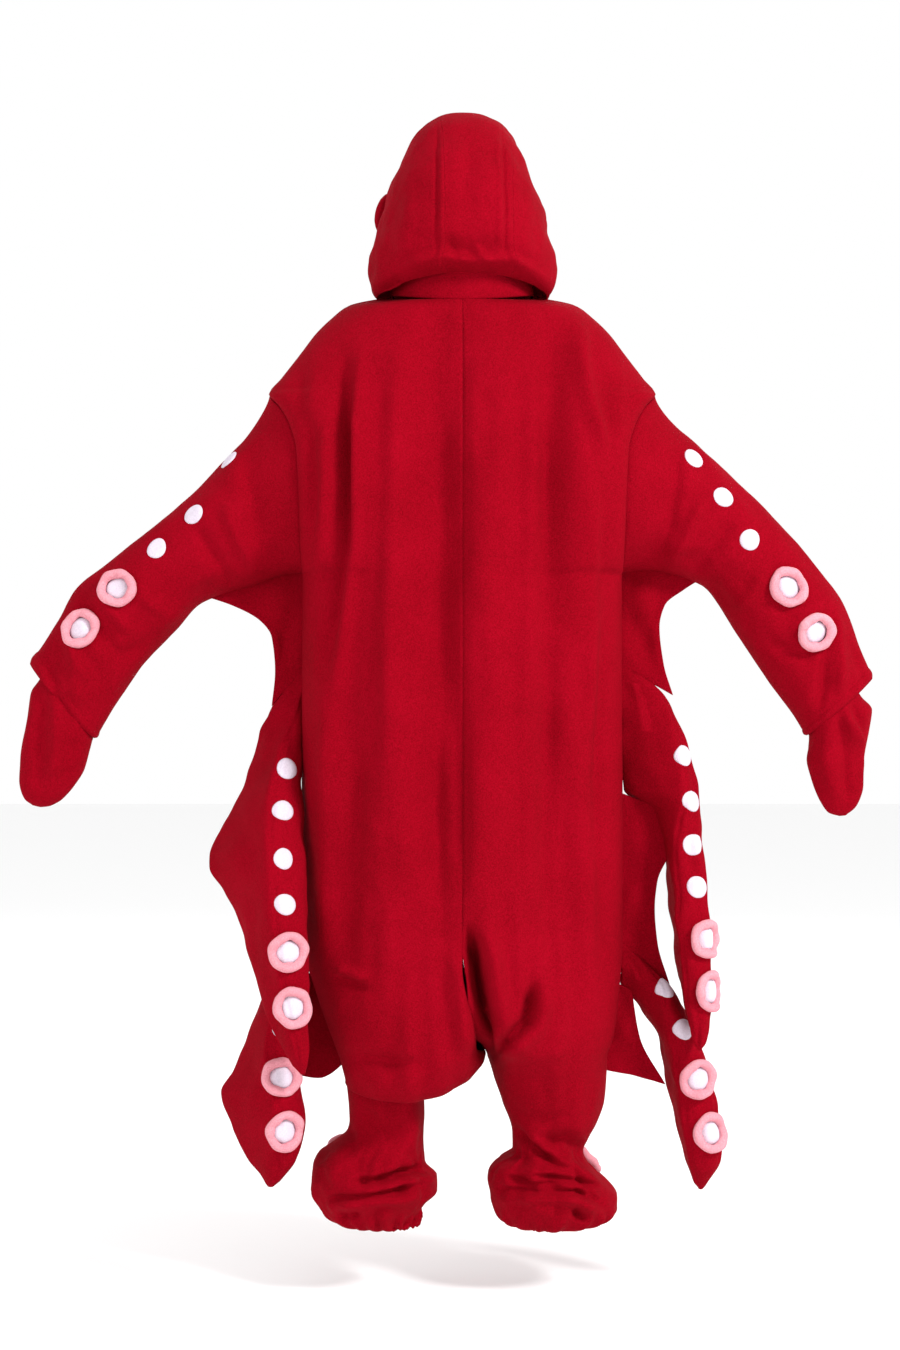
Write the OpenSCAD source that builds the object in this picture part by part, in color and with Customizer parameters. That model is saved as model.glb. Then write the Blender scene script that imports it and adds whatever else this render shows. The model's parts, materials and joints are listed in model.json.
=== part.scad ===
// Hooded octopus jumpsuit in fleece, as worn, seen from the wearer's side.
// Origin: centre of the neck opening. +Z up, the wearer faces +Y, +X is the wearer's right.
// Limbs are built on the +X side; the left ones are mirrored into place.

/* [Fabric] */
// Thickness of one layer of fleece
fleece = 3; // [2:0.5:3.5]
// Gap between pieces that move past each other or lie on each other
gap = 0.4; // [0.3:0.1:0.6]

/* [Body] */
// Half width of the body between the side seams
body_half_w = 231; // [224:1:236]
// Half depth of the body at the belly
body_half_d = 145; // [135:1:150]
// Half width across the shoulder points
shoulder_half_w = 284; // [276:1:290]
// Height of the shoulder points below the neck seam
shoulder_drop = 133; // [128:1:138]
// Height of the underarm point below the neck seam
underarm_drop = 398; // [390:1:402]
// Half depth of the armhole
armhole_half_d = 96; // [92:1:100]
// Depth of the crotch below the neck seam
crotch_drop = 1100; // [1096:1:1104]
// Clear radius of each leg hole in the seat gusset
leg_hole_r = 86; // [84:1:88]

/* [Neck] */
// Half width of the neck seam
neck_half_w = 100; // [94:1:106]
// Half depth of the neck seam
neck_half_d = 92; // [86:1:96]
// Height of the neck seam above the origin
neck_seam_z = 12; // [10:1:14]
// Height of the neckband
neckband_h = 30; // [24:1:31]

/* [Front opening] */
// Width of the placket strips
placket_w = 36; // [28:1:44]
// Length of the placket strips
placket_len = 680; // [600:10:700]
// Number of buttons
button_count = 5; // [4:1:6]
// Radius of a button
button_r = 10; // [8:0.5:12]
// Thickness of a button
button_h = 4; // [3:0.5:5]

/* [Hood] */
// Height of the hood's lower edge at its sides
hood_edge_z = 13; // [12:1:16]
// Turn of the hood with the wearer's head
hood_yaw = 5; // [0:1:8]
// Half width of the hood's centre panel
hood_centre_half_w = 51; // [44:1:56]
// Half width of the face opening
face_half_w = 82; // [74:1:88]
// Half height of the face opening
face_half_h = 96; // [88:1:100]
// Height of the middle of the face opening
face_z = 137; // [134:1:140]
// Width of the face hem
hem_w = 9; // [7:1:12]
// Radius of an eye
eye_r = 29; // [24:1:32]
// Height of an eye's dome
eye_h = 12; // [9:1:14]
// Radius of a pupil
pupil_r = 13; // [10:1:15]

/* [Suckers] */
// Radius of a plain white disc
disc_r = 15; // [12:1:17]
// Thickness of a disc
disc_h = 2; // [1.5:0.5:3]
// Outer radius of a padded ring
ring_r = 29; // [26:1:31]
// Radius of the roll that a padded ring is made of
ring_roll_r = 8; // [7:0.5:9]

/* [Ankles] */
// Clear radius of an ankle cuff
cuff_r = 38; // [34:1:40]
// Width of an ankle cuff's band
cuff_h = 26; // [22:1:28]
// Thickness of an ankle cuff's folded band
cuff_t = 7; // [6:0.5:8]
// Depth of the groove that holds the elastic
elastic_t = 2.4; // [2:0.2:2.6]

/* [Hidden] */
sides = ["left", "right"];
levels = ["upper", "lower"];
tentacle_parts = ["front_panel", "rear_panel", "filling"];

red = [0.72, 0.02, 0.09];
dark_red = [0.58, 0.01, 0.07];
white = [0.9, 0.87, 0.94];
pink = [0.97, 0.56, 0.6];
roundness = 0.8;   // power on the sine and cosine of a body section: 1 is an ellipse, less is squarer

// Body: half width and half depth by height
body_w = [[-crotch_drop, 197], [-1060, 209], [-1020, 218], [-950, body_half_w], [-600, body_half_w],
          [-underarm_drop, body_half_w + 1], [-300, body_half_w + 2], [-220, 240], [-180, 252],
          [-shoulder_drop, shoulder_half_w], [-111, 267], [-67, 232], [-22, 195], [0, 166],
          [neck_seam_z, neck_half_w]];
body_d = [[-crotch_drop, 118], [-1060, 140], [-1000, body_half_d + 4], [-600, body_half_d],
          [-300, body_half_d - 3], [-220, 138], [-shoulder_drop, 128], [-67, 116], [-22, 106], [0, 99],
          [neck_seam_z, neck_half_d]];
body_rows = [neck_seam_z, 0, -22, -67, -111, -shoulder_drop, -142, -165, -200, -240, -280, -320, -355, -380,
             -underarm_drop, -430, -520, -620, -720, -820, -900, -950, -1000, -1030, -1060, -crotch_drop];
body_cols = 9;

// Hood: half width, reach to the back and reach to the front by height
hood_w = [[hood_edge_z, 128], [44, 136], [66, 135], [88, 130], [110, 124], [132, 119], [155, 112], [177, 103], [199, 93],
          [221, 83], [243, 71], [260, 58], [272, 40], [279, 4]];
hood_back = [[hood_edge_z, 112], [44, 117], [60, 134], [100, 149], [150, 147], [199, 130], [243, 98], [260, 76], [272, 50], [279, 6]];
hood_front = [[hood_edge_z, 98], [44, 100], [100, 108], [150, 112], [199, 106], [243, 82], [260, 62], [272, 38], [279, 4]];
hood_rows = [hood_edge_z, 44, 60, 78, 100, 126, 150, 176, 199, 221, 234, 248];
hood_cap_rows = [262, 270, 276, 279];
hinge_hood = [-118, 44];

// Arms: top line, bottom line (x, z) and half depth of each section, left then right
arm_sections = [
    [[[272, -152], [241, -384], 84], [[335, -213], [300, -412], 80], [[407, -288], [379, -435], 72],
     [[470, -340], [424, -482], 66], [[530, -387], [472, -532], 62], [[571, -421], [502, -576], 58],
     [[598, -470], [522, -607], 53], [[634, -524], [540, -637], 48]],
    [[[272, -152], [241, -384], 84], [[335, -195], [298, -396], 80], [[410, -266], [351, -412], 72],
     [[470, -326], [402, -480], 66], [[530, -396], [443, -543], 62], [[563, -443], [470, -580], 58],
     [[584, -500], [489, -606], 53], [[604, -546], [506, -634], 48]]];
tip_sections = [
    [[[624, -551], [571, -618], 34], [[641, -580], [549, -650], 38], [[644, -620], [558, -680], 36],
     [[653, -664], [575, -708], 31], [[655, -700], [597, -731], 22], [[642, -730], [618, -740], 8]],
    [[[597, -571], [535, -620], 34], [[606, -598], [511, -645], 38], [[598, -630], [508, -668], 36],
     [[594, -670], [514, -695], 31], [[592, -712], [527, -728], 22], [[574, -748], [548, -752], 8]]];
arm_cols = 18;

// Tentacles by height: sucker edge (x, y, radius) and ridge (x, y, radius), left then right
upper_sections = [
    [[-556, [241, -2, 4], [250, 0, 3]], [-600, [250, -14, 11], [279, 2, 6]], [-664, [256, -38, 19], [295, 10, 8]],
     [-730, [262, -64, 23], [316, 12, 9]], [-775, [264, -80, 25], [337, 12, 9]], [-819, [261, -94, 26], [356, 2, 9]],
     [-863, [258, -106, 26], [331, -20, 9]], [-907, [254, -116, 26], [308, -48, 9]], [-974, [248, -127, 24], [290, -82, 8]],
     [-1018, [243, -132, 21], [275, -100, 8]], [-1070, [235, -134, 15], [255, -118, 7]], [-1116, [227, -132, 5], [229, -130, 4]]],
    [[-545, [254, -1, 4], [242, 1, 3]], [-600, [300, -8, 11], [252, 4, 7]], [-664, [318, -18, 15], [262, 10, 9]],
     [-730, [325, -28, 17], [282, 22, 11]], [-775, [328, -34, 18], [306, 38, 12]], [-819, [330, -40, 18], [324, 48, 12]],
     [-863, [332, -46, 18], [328, 46, 12]], [-907, [335, -52, 18], [331, 36, 12]], [-974, [340, -60, 17], [338, 16, 12]],
     [-1018, [342, -66, 16], [341, -8, 11]], [-1056, [344, -70, 13], [344, -40, 10]], [-1090, [344, -70, 5], [344, -66, 4]]]];
lower_sections = [
    [[-954, [241, -2, 4], [251, 0, 3]], [-1000, [252, -18, 12], [278, 4, 6]], [-1040, [261, -38, 18], [291, 6, 7]],
     [-1084, [268, -56, 21], [305, 6, 8]], [-1129, [264, -68, 23], [322, 4, 8]], [-1166, [259, -76, 23], [340, 0, 8]],
     [-1210, [257, -78, 22], [323, -16, 8]], [-1250, [262, -76, 18], [301, -38, 8]], [-1286, [276, -70, 6], [281, -66, 5]]],
    [[-954, [262, -1, 5], [243, 1, 3]], [-1000, [288, -8, 14], [254, 10, 7]], [-1040, [306, -14, 18], [276, 22, 9]],
     [-1084, [324, -18, 20], [306, 34, 11]], [-1129, [334, -20, 22], [320, 48, 12]], [-1173, [344, -20, 23], [328, 54, 12]],
     [-1217, [350, -20, 24], [338, 44, 12]], [-1258, [354, -16, 22], [346, 24, 12]], [-1304, [352, -4, 8], [351, 2, 7]]]];
edge_cols = 5;   // points round each edge of a tentacle section

// Legs: height, centre x, half width, half depth, left then right
leg_sections = [
    [[-1084, 103, 76, 76], [-1130, 110, 72, 76], [-1173, 119, 62, 75], [-1217, 117, 58, 70], [-1255, 126, 80, 80],
     [-1292, 132, 90, 88], [-1320, 126, 82, 80], [-1334, 109, 56, 57], [-1338, 106, 45, 45]],
    [[-1084, 112, 72, 74], [-1104, 114, 73, 76], [-1130, 129, 76, 77], [-1173, 135, 75, 75], [-1217, 134, 63, 70], [-1250, 128, 58, 68],
     [-1275, 131, 76, 80], [-1298, 135, 92, 90], [-1322, 134, 88, 84], [-1336, 129, 56, 57], [-1340, 128, 45, 45]]];
leg_hole_x = [103, 112];
cuff_x = [106, 128];
cuff_top = [-1338, -1340];
leg_cols = 20;

// Webs in the plane of the side seams (x, z), left then right
web_clear = body_half_w + 2;
web_upper = [
    [[web_clear + 2, -402], [300, -417], [379, -438], [338, -446], [298, -467], [281, -490], [277, -540], [279, -572],
     [256, -548], [web_clear, -546]],
    [[web_clear + 2, -402], [298, -402], [351, -416], [326, -424], [300, -446], [290, -478], [288, -516], [284, -543],
     [web_clear, -541]]];
web_middle = [
    [[web_clear, -752], [262, -772], [268, -800], [266, -890], [262, -948], [web_clear, -948]],
    [[web_clear, -752], [300, -790], [298, -819], [284, -860], [280, -900], [288, -960], [270, -950], [web_clear, -948]]];
web_lower = [[235, -1000], [236, -1133], [272, -1144], [224, -1141], [213, -1118], [206, -1104], [224, -1028], [233, -1000]];

// Suckers: tentacle discs and rings as height and facing (degrees from +X), left then right
upper_discs = [[[-682, -100], [-741, -100], [-809, -100], [-873, -99]], [[-664, -66], [-730, -62], [-793, -64], [-854, -60]]];
upper_rings = [[[-940, -98], [-1018, -96]], [[-929, -34], [-1004, -26]]];
lower_discs = [[[-1058, -100]], [[-1004, -58], [-1064, -66]]];
lower_rings = [[[-1126, -98], [-1202, -96]], [[-1136, -66], [-1214, -56]]];
// Sleeve suckers: section number, turn from the top line to the back
arm_discs = [[[1.12, 24], [1.85, 56], [2.75, 58]], [[1.1, 43], [1.75, 60], [2.5, 75]]];
arm_rings = [[[3.77, 67], [5.25, 67]], [[3.5, 75], [4.6, 80]]];
// Leg suckers: height, facing (degrees from +X)
leg_rings = [[[-1180, 60], [-1262, 52]], [[-1180, 48], [-1268, 30]]];

function mix(a, b, t) = a + (b - a) * t;
function power(v, p) = v <= 0 ? 0 : pow(v, p);
function column(rows, n) = [for (r = rows) [r[0], r[n]]];
function points_of(rows) = [for (r = rows) each r];

// A closed ring of points round the ellipse with half axes u and v
function ring(c, u, v, n) = [for (i = [0 : n - 1]) c + u * cos(i * 360 / n) + v * sin(i * 360 / n)];

// Walls of a grid: two triangles for each cell, turned over by flip
function cells(nr, nc, base, wrap, flip) = [for (i = [0 : nr - 2], j = [0 : (wrap ? nc - 1 : nc - 2)])
    let (a = base + i * nc + j, b = base + i * nc + (j + 1) % nc, c = b + nc, d = a + nc)
    each flip ? [[a, b, c], [a, c, d]] : [[a, c, b], [a, d, c]]];
function strip(a, b, flip) = [for (k = [0 : len(a) - 2])
    each flip ? [[a[k], b[k], b[k + 1]], [a[k], b[k + 1], a[k + 1]]]
              : [[a[k], b[k + 1], b[k]], [a[k], a[k + 1], b[k + 1]]]];
function span(first, step, n) = [for (k = [0 : n - 1]) first + step * k];
function closed(list) = concat(list, [list[0]]);

// Cloth between an outer and an inner grid of points; wrap joins the last column to the first
module cloth(outer, inner, wrap = false, flip = false) {
    nr = len(outer);
    nc = len(outer[0]);
    n = nr * nc;
    last = (nr - 1) * nc;
    top = wrap ? closed(span(0, 1, nc)) : span(0, 1, nc);
    bottom = wrap ? closed(span(last, 1, nc)) : span(last, 1, nc);
    inside = [for (v = [0 : len(top) - 1]) n];
    faces = concat(
        cells(nr, nc, 0, wrap, flip), cells(nr, nc, n, wrap, !flip),
        strip(top, top + inside, flip), strip(bottom, bottom + inside, !flip),
        wrap ? [] : strip(span(0, nc, nr), span(n, nc, nr), !flip),
        wrap ? [] : strip(span(nc - 1, nc, nr), span(n + nc - 1, nc, nr), flip));
    polyhedron(concat(points_of(outer), points_of(inner)), faces);
}

// A solid between rings of points, closed by a flat face at each end
module solid(rings, flip = false) {
    nr = len(rings);
    nc = len(rings[0]);
    last = (nr - 1) * nc;
    caps = [for (j = [1 : nc - 2]) each flip ? [[0, j + 1, j], [last, last + j, last + j + 1]]
                                             : [[0, j, j + 1], [last, last + j + 1, last + j]]];
    polyhedron(points_of(rings), concat(cells(nr, nc, 0, true, flip), caps));
}

// Cloth that ends in a closed bottom: the inner rings stop a layer short of the last outer one
module bag(outer, inner, flip = false) {
    nr = len(outer);
    nc = len(outer[0]);
    n = nr * nc;
    ni = len(inner);
    last = (nr - 1) * nc;
    last_in = n + (ni - 1) * nc;
    top = closed(span(0, 1, nc));
    inside = [for (v = top) n];
    caps = [for (j = [1 : nc - 2]) each flip ? [[last, last + j, last + j + 1], [last_in, last_in + j + 1, last_in + j]]
                                             : [[last, last + j + 1, last + j], [last_in, last_in + j, last_in + j + 1]]];
    polyhedron(concat(points_of(outer), points_of(inner)),
        concat(cells(nr, nc, 0, true, flip), cells(ni, nc, n, true, !flip), strip(top, top + inside, flip), caps));
}

module on_side(k) {
    if (k == 0) mirror([1, 0, 0]) children();
    else children();
}

// ---- Body ----
function armhole(z) = let (mid = (shoulder_drop + underarm_drop) / 2, half = (underarm_drop - shoulder_drop) / 2,
    u = (z + mid) / half) armhole_half_d * sqrt(max(0, 1 - u * u));
function body_point(s, z, inset, way) = let (a = lookup(z, body_w) - inset, d = lookup(z, body_d) - inset, h = armhole(z))
    [a * power(sin(90 * s), roundness), way * (h + max(0, d - h) * power(cos(90 * s), roundness)),
     z - (z > -140 ? inset : 0)];
function body_grid(inset, way) = [for (z = body_rows) [for (j = [0 : body_cols]) body_point(j / body_cols, z, inset, way)]];

module body_panel(k, way) {
    color(red) on_side(k) cloth(body_grid(0, way), body_grid(fleece, way), flip = way < 0);
}

module seat_gusset() {
    a = lookup(-crotch_drop, body_w) - fleece - 2 * gap;
    d = lookup(-crotch_drop, body_d) - fleece - 2 * gap;
    n = 48;
    color(dark_red) translate([0, 0, -crotch_drop]) linear_extrude(fleece) difference() {
        polygon([for (i = [0 : n - 1]) let (t = i * 360 / n)
            [a * sign(sin(t)) * power(abs(sin(t)), roundness), d * sign(cos(t)) * power(abs(cos(t)), roundness)]]);
        translate([-leg_hole_x[0], 0]) circle(leg_hole_r, $fn = 72);
        translate([leg_hole_x[1], 0]) circle(leg_hole_r, $fn = 72);
    }
}

module neckband() {
    function band(z, grow) = ring([0, 0, z], [neck_half_w + grow, 0, 0], [0, neck_half_d + grow, 0], 40);
    low = neck_seam_z;
    high = neck_seam_z + neckband_h;
    color(red) cloth([band(low, 0), band((low + high) / 2, -1), band(high, -4)],
        [band(low, -fleece), band((low + high) / 2, -fleece - 1), band(high, -fleece - 4)], wrap = true);
}

function front_y(z) = lookup(z, body_d);
placket_rows = [-4, -22, -67, -shoulder_drop, -220, -300, -600, -placket_len];
module placket(low, high) {
    function line(z, y) = [for (x = [-0.5, 0.5]) [x * placket_w, front_y(z) + y, z]];
    cloth([for (z = placket_rows) line(z, high)], [for (z = placket_rows) line(z, low)]);
}
under_slack = 2.6;   // room under the front panels, which slope in towards the neck
module button_placket() { color(dark_red) placket(-2 * fleece - under_slack, -fleece - under_slack); }
module buttonhole_placket() { color(red) placket(gap, fleece + gap); }
module buttons() {
    color(dark_red) for (i = [0 : button_count - 1]) {
        z = -60 - i * (placket_len - 110) / (button_count - 1);
        slope = atan((front_y(z - button_r) - front_y(z + button_r)) / (2 * button_r));
        translate([0, front_y(z) + fleece + 4 * gap, z]) rotate([slope - 90, 0, 0]) difference() {
            cylinder(r = button_r, h = button_h, $fn = 48);
            for (t = [45 : 90 : 315]) rotate(t) translate([button_r * 0.3, 0, -1]) cylinder(r = 1, h = button_h + 2, $fn = 16);
        }
    }
}
module hanger_loop() {
    loop_r = 15;
    cord_r = 1.8;
    color(dark_red) translate([0, -neck_half_d + fleece + cord_r + 3.2, neck_seam_z + 8]) rotate([90, 0, 0])
        rotate_extrude(angle = 180, $fn = 48) translate([loop_r, 0]) circle(cord_r, $fn = 24);
}

// ---- Webs ----
module web(outline, k, thick = 2 * fleece) {
    color(red) on_side(k) translate([0, thick / 2, 0]) rotate([90, 0, 0]) linear_extrude(thick) polygon(outline);
}

// ---- Hood ----
function hood_low(t) = hood_edge_z + (hinge_hood[1] - hood_edge_z) * power(cos(t), 2);
function hood_point(t, z, inset) = let (w = max(1, lookup(z, hood_w) - inset),
    d = max(1, (cos(t) >= 0 ? lookup(z, hood_back) : lookup(z, hood_front)) - inset))
    [w * power(sin(t), 0.85), -sign(cos(t)) * d * power(abs(cos(t)), 0.85), max(z, hood_low(t)) - (z > 255 ? inset : 0)];
function face_half(z) = let (u = (z - face_z) / face_half_h) face_half_w * sqrt(max(0, 1 - u * u));
function turn_at(x, z) = asin(min(1, power(x / lookup(z, hood_w), 1 / 0.85)));
function hood_back_turn(z) = turn_at(hood_centre_half_w, z);
function hood_front_turn(z) = 180 - (z > face_z + face_half_h ? hood_back_turn(z) : turn_at(face_half(z), z));
hood_cols = 10;
hood_side_rows = concat(hood_rows, [260]);
function hood_side_grid(inset) = [for (z = hood_side_rows) let (a = hood_back_turn(z), b = hood_front_turn(z))
    [for (j = [0 : hood_cols]) hood_point(mix(a, b, j / hood_cols), z, inset)]];
module hood_side(k) {
    color(red) rotate(hood_yaw) on_side(k) cloth(hood_side_grid(0), hood_side_grid(fleece));
}
hood_crown_rows = concat([260], hood_cap_rows);
function crown_ring(z, inset) = [for (i = [0 : 23]) let (t = i * 15, p = hood_point(t <= 180 ? t : 360 - t, z, inset))
    [t <= 180 ? p[0] : -p[0], p[1], p[2]]];
function hood_span(z, a, b, inset, n) = [for (j = [-n : n]) let (t = mix(a, b, abs(j) / n), p = hood_point(t, z, inset))
    [sign(j) * p[0], p[1], p[2]]];
module hood_centre_panel() {
    brow_rows = [for (z = hood_side_rows) if (z > face_z + face_half_h) z];
    color(red) rotate(hood_yaw) {
        cloth([for (z = hood_side_rows) hood_span(z, 0, hood_back_turn(z), 0, 3)],
            [for (z = hood_side_rows) hood_span(z, 0, hood_back_turn(z), fleece, 3)]);
        cloth([for (z = brow_rows) hood_span(z, 180, 180 - hood_back_turn(z), 0, 3)],
            [for (z = brow_rows) hood_span(z, 180, 180 - hood_back_turn(z), fleece, 3)], flip = true);
        bag([for (z = hood_crown_rows) crown_ring(z, 0)], [for (z = hood_crown_rows) crown_ring(z, fleece)]);
    }
}
module face_hem() {
    n = 80;
    hem_gap = 4;   // the hood's edge is made of short straight lines
    function edge(i, grow, lift) = let (a = i * 360 / n, x = (face_half_w + grow) * cos(a),
        z = face_z + (face_half_h + grow) * sin(a), w = lookup(z, hood_w), c = max(0, 1 - power(abs(x) / w, 2 / 0.85)))
        [x, lookup(z, hood_front) * power(c, 0.85 / 2) + lift, z];
    function loop(grow, lift) = [for (i = [0 : n - 1]) edge(i, grow, lift)];
    color(dark_red) rotate(hood_yaw) cloth([loop(-hem_gap, 2), loop(-hem_w, 2)], [loop(-hem_gap, -4), loop(-hem_w, -4)], wrap = true, flip = true);
}
module on_eyes() {
    eye_z = 140;
    turn = 112;
    for (k = [0, 1]) rotate(hood_yaw) on_side(k) translate(hood_point(turn, eye_z, -1)) rotate([0, 78, 24]) children();
}
module eye_dome() {
    ball = (eye_r * eye_r + eye_h * eye_h) / (2 * eye_h);
    intersection() {
        translate([0, 0, eye_h - ball]) sphere(ball, $fn = 64);
        cylinder(r = eye_r + 1, h = eye_h + 1, $fn = 64);
    }
}
module eye_whites() { color(white) on_eyes() eye_dome(); }
module eye_pupils() {
    color([0.06, 0.05, 0.06]) on_eyes() difference() {
        cylinder(r = pupil_r, h = eye_h + 2, $fn = 64);
        translate([0, 0, gap]) eye_dome();
        translate([0, 0, -1]) cylinder(r = pupil_r + 1, h = eye_h / 2, $fn = 64);
    }
}

// ---- Sleeves ----
function arm_ring(s, inset) = let (top = [s[0][0], 0, s[0][1]], low = [s[1][0], 0, s[1][1]], half = (top - low) / 2,
    u = half * (1 - inset / norm(half)))
    ring((top + low) / 2, u, [0, -(s[2] - inset), 0], arm_cols);
module sleeve(k) {
    s = arm_sections[k];
    color(red) on_side(k) cloth([for (r = s) arm_ring(r, 0)], [for (r = s) arm_ring(r, fleece)], wrap = true);
}
function between(a, b, t) = [mix(a[0], b[0], t), mix(a[1], b[1], t), mix(a[2], b[2], t)];
module wrist_hem(k) {
    s = arm_sections[k];
    last = len(s) - 1;
    pair = [between(s[last - 1], s[last], 0.62), s[last]];
    color(dark_red) on_side(k) cloth([for (r = pair) arm_ring(r, -fleece)], [for (r = pair) arm_ring(r, -gap)], wrap = true);
}
module sleeve_tip(k) {
    s = tip_sections[k];
    color(red) on_side(k) bag([for (r = s) arm_ring(r, 0)], [for (i = [0 : len(s) - 2]) arm_ring(s[i], fleece)]);
}

// ---- Suckers ----
module disc() { cylinder(r = disc_r, h = disc_h, $fn = 48); }
module padded_ring() {
    translate([0, 0, ring_roll_r]) rotate_extrude($fn = 48) translate([ring_r - ring_roll_r, 0]) circle(ring_roll_r, $fn = 24);
}
module ring_centre() { translate([0, 0, disc_h]) cylinder(r = ring_r - 2 * ring_roll_r - gap, h = 1.5 * disc_h, $fn = 48); }
// Puts a child on a surface: at p, standing along the cross product of the two directions u and v
module stand(p, u, v, lift) {
    n = cross(u, v) / norm(cross(u, v));
    translate(p + n * lift) rotate([0, acos(n[2]), atan2(n[1], n[0])]) children();
}
sucker_lift = 1.2;   // keeps a sucker's flat back clear of the facets of a limb
function arm_at(k, u) = let (s = arm_sections[k], i = floor(u)) between(s[i], s[i + 1], u - i);
function arm_point(k, u, a) = let (s = arm_at(k, u))
    [mix(s[1][0], s[0][0], (1 + cos(a)) / 2), -s[2] * sin(a), mix(s[1][1], s[0][1], (1 + cos(a)) / 2)];
module on_arm(k, list, reach) {
    du = reach / 75;
    da = reach;
    for (q = list) on_side(k) stand(arm_point(k, q[0], q[1]), arm_point(k, q[0] - du, q[1]) - arm_point(k, q[0] + du, q[1]),
        arm_point(k, q[0], q[1] + da) - arm_point(k, q[0], q[1] - da), sucker_lift) children();
}
function section_at(list, z) = [for (m = [0 : 2]) lookup(z, [for (r = list) [r[0], r[1][m]]])];
function edge_point(list, z, a) = let (s = section_at(list, z)) [s[0] + s[2] * cos(a), s[1] + s[2] * sin(a), z];
module on_tentacle(k, list, marks, reach) {
    for (q = marks) on_side(k) stand(edge_point(list[k], q[0], q[1]), [-sin(q[1]), cos(q[1]), 0],
        edge_point(list[k], q[0] + reach, q[1]) - edge_point(list[k], q[0] - reach, q[1]), sucker_lift) children();
}
function leg_point(s, z, a) = [lookup(z, column(s, 1)) + lookup(z, column(s, 2)) * cos(a), lookup(z, column(s, 3)) * sin(a), z];
module on_leg(k, reach) {
    s = leg_sections[k];
    for (q = leg_rings[k]) on_side(k) stand(leg_point(s, q[0], q[1]), [-sin(q[1]), cos(q[1]), 0],
        leg_point(s, q[0] + reach, q[1]) - leg_point(s, q[0] - reach, q[1]), 3 * sucker_lift) children();
}

// ---- Tentacles ----
function edge_arc(e, from, inset) = [for (i = [0 : edge_cols - 1]) let (t = from + i * 180 / (edge_cols - 1))
    [e[0] + max(1, e[2] - inset) * cos(t), e[1] + max(1, e[2] - inset) * sin(t)]];
// Half a section: the quarter round the sucker edge, then the quarter round the ridge, to one side of the seams
function half_section(r, inset, way) = let (a = atan2(r[1][1] - r[2][1], r[1][0] - r[2][0]),
    seam = way * gap / 2, arc = [0 : edge_cols - 1])
    [for (e = [1, 2]) each [for (i = arc) let (t = a + way * (e - 1 + i / (edge_cols - 1)) * 90,
        q = max(0.8, r[e][2] - inset))
        [r[e][0] + q * cos(t) + seam * sin(-a), r[e][1] + q * sin(t) + seam * cos(a), r[0]]]];
function full_section(r, inset) = let (a = atan2(r[1][1] - r[2][1], r[1][0] - r[2][0]))
    [for (e = [1, 2]) each [for (p = edge_arc(r[e], a - 90 + (e - 1) * 180, inset)) [p[0], p[1], r[0]]]];
module tentacle_panel(list, k, front) {
    way = front == (k == 1) ? 1 : -1;
    color(front ? red : dark_red) on_side(k) cloth([for (r = list[k]) half_section(r, 0, way)],
        [for (r = list[k]) half_section(r, fleece, way)], flip = way > 0);
}
module tentacle_filling(list, k) {
    rows = [for (i = [1 : len(list[k]) - 2]) list[k][i]];
    core = [for (r = rows) full_section(r, fleece + 2 * gap)];
    last = len(core[0]) - 1;
    color([0.93, 0.9, 0.88]) on_side(k) intersection() {
        solid(core, flip = true);
        solid([for (r = core) [for (j = [last : -1 : 0]) r[j]]]);   // the same rows, triangulated the other way
    }
}

// ---- Legs ----
function leg_ring(s, inset) = ring([s[1], 0, s[0]], [s[2] - inset, 0, 0], [0, s[3] - inset, 0], leg_cols);
module leg(k) {
    s = leg_sections[k];
    color(red) on_side(k) cloth([for (r = s) leg_ring(r, 0)], [for (r = s) leg_ring(r, fleece)], wrap = true, flip = true);
}
module on_ankle(k) { on_side(k) translate([cuff_x[k], 0, cuff_top[k] - cuff_h - gap]) children(); }
module ankle_cuff(k) {
    margin = 3;
    color(dark_red) on_ankle(k) rotate_extrude($fn = 72) difference() {
        translate([cuff_r, 0]) square([cuff_t, cuff_h]);
        translate([cuff_r + (cuff_t - elastic_t) / 2, margin]) square([elastic_t, cuff_h - 2 * margin]);
    }
}
module ankle_elastic(k) {
    margin = 3;
    t = elastic_t - 2 * 0.2;
    color([0.92, 0.9, 0.88]) on_ankle(k) rotate_extrude($fn = 72)
        translate([cuff_r + (cuff_t - t) / 2, margin + 0.5]) square([t, cuff_h - 2 * margin - 1]);
}

for (k = [0, 1]) {
    body_panel(k, -1);
    body_panel(k, 1);
    web(web_upper[k], k);
    web(web_middle[k], k);
    web(web_lower, k);
    hood_side(k);
    sleeve(k);
    wrist_hem(k);
    sleeve_tip(k);
    color(white) {
        on_arm(k, arm_discs[k], disc_r) disc();
        on_arm(k, arm_rings[k], ring_r) ring_centre();
    }
    color(pink) on_arm(k, arm_rings[k], ring_r) padded_ring();
    for (l = [0, 1]) {
        list = l == 0 ? upper_sections : lower_sections;
        name = str("tentacle_", levels[l], "_", sides[k]);
        discs = l == 0 ? upper_discs : lower_discs;
        rings = l == 0 ? upper_rings : lower_rings;
        tentacle_panel(list, k, true);
        tentacle_panel(list, k, false);
        tentacle_filling(list, k);
        color(white) {
            on_tentacle(k, list, discs[k], disc_r) disc();
            on_tentacle(k, list, rings[k], ring_r) ring_centre();
        }
        color(pink) on_tentacle(k, list, rings[k], ring_r) padded_ring();
    }
    leg(k);
    ankle_cuff(k);
    ankle_elastic(k);
    color(pink) on_leg(k, ring_r) padded_ring();
}
seat_gusset();
neckband();
button_placket();
buttonhole_placket();
buttons();
hanger_loop();
hood_centre_panel();
face_hem();
eye_whites();
eye_pupils();
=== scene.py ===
import json
import math

import bmesh
import bpy
from mathutils import Matrix, Vector, noise
from mathutils.bvhtree import BVHTree

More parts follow.
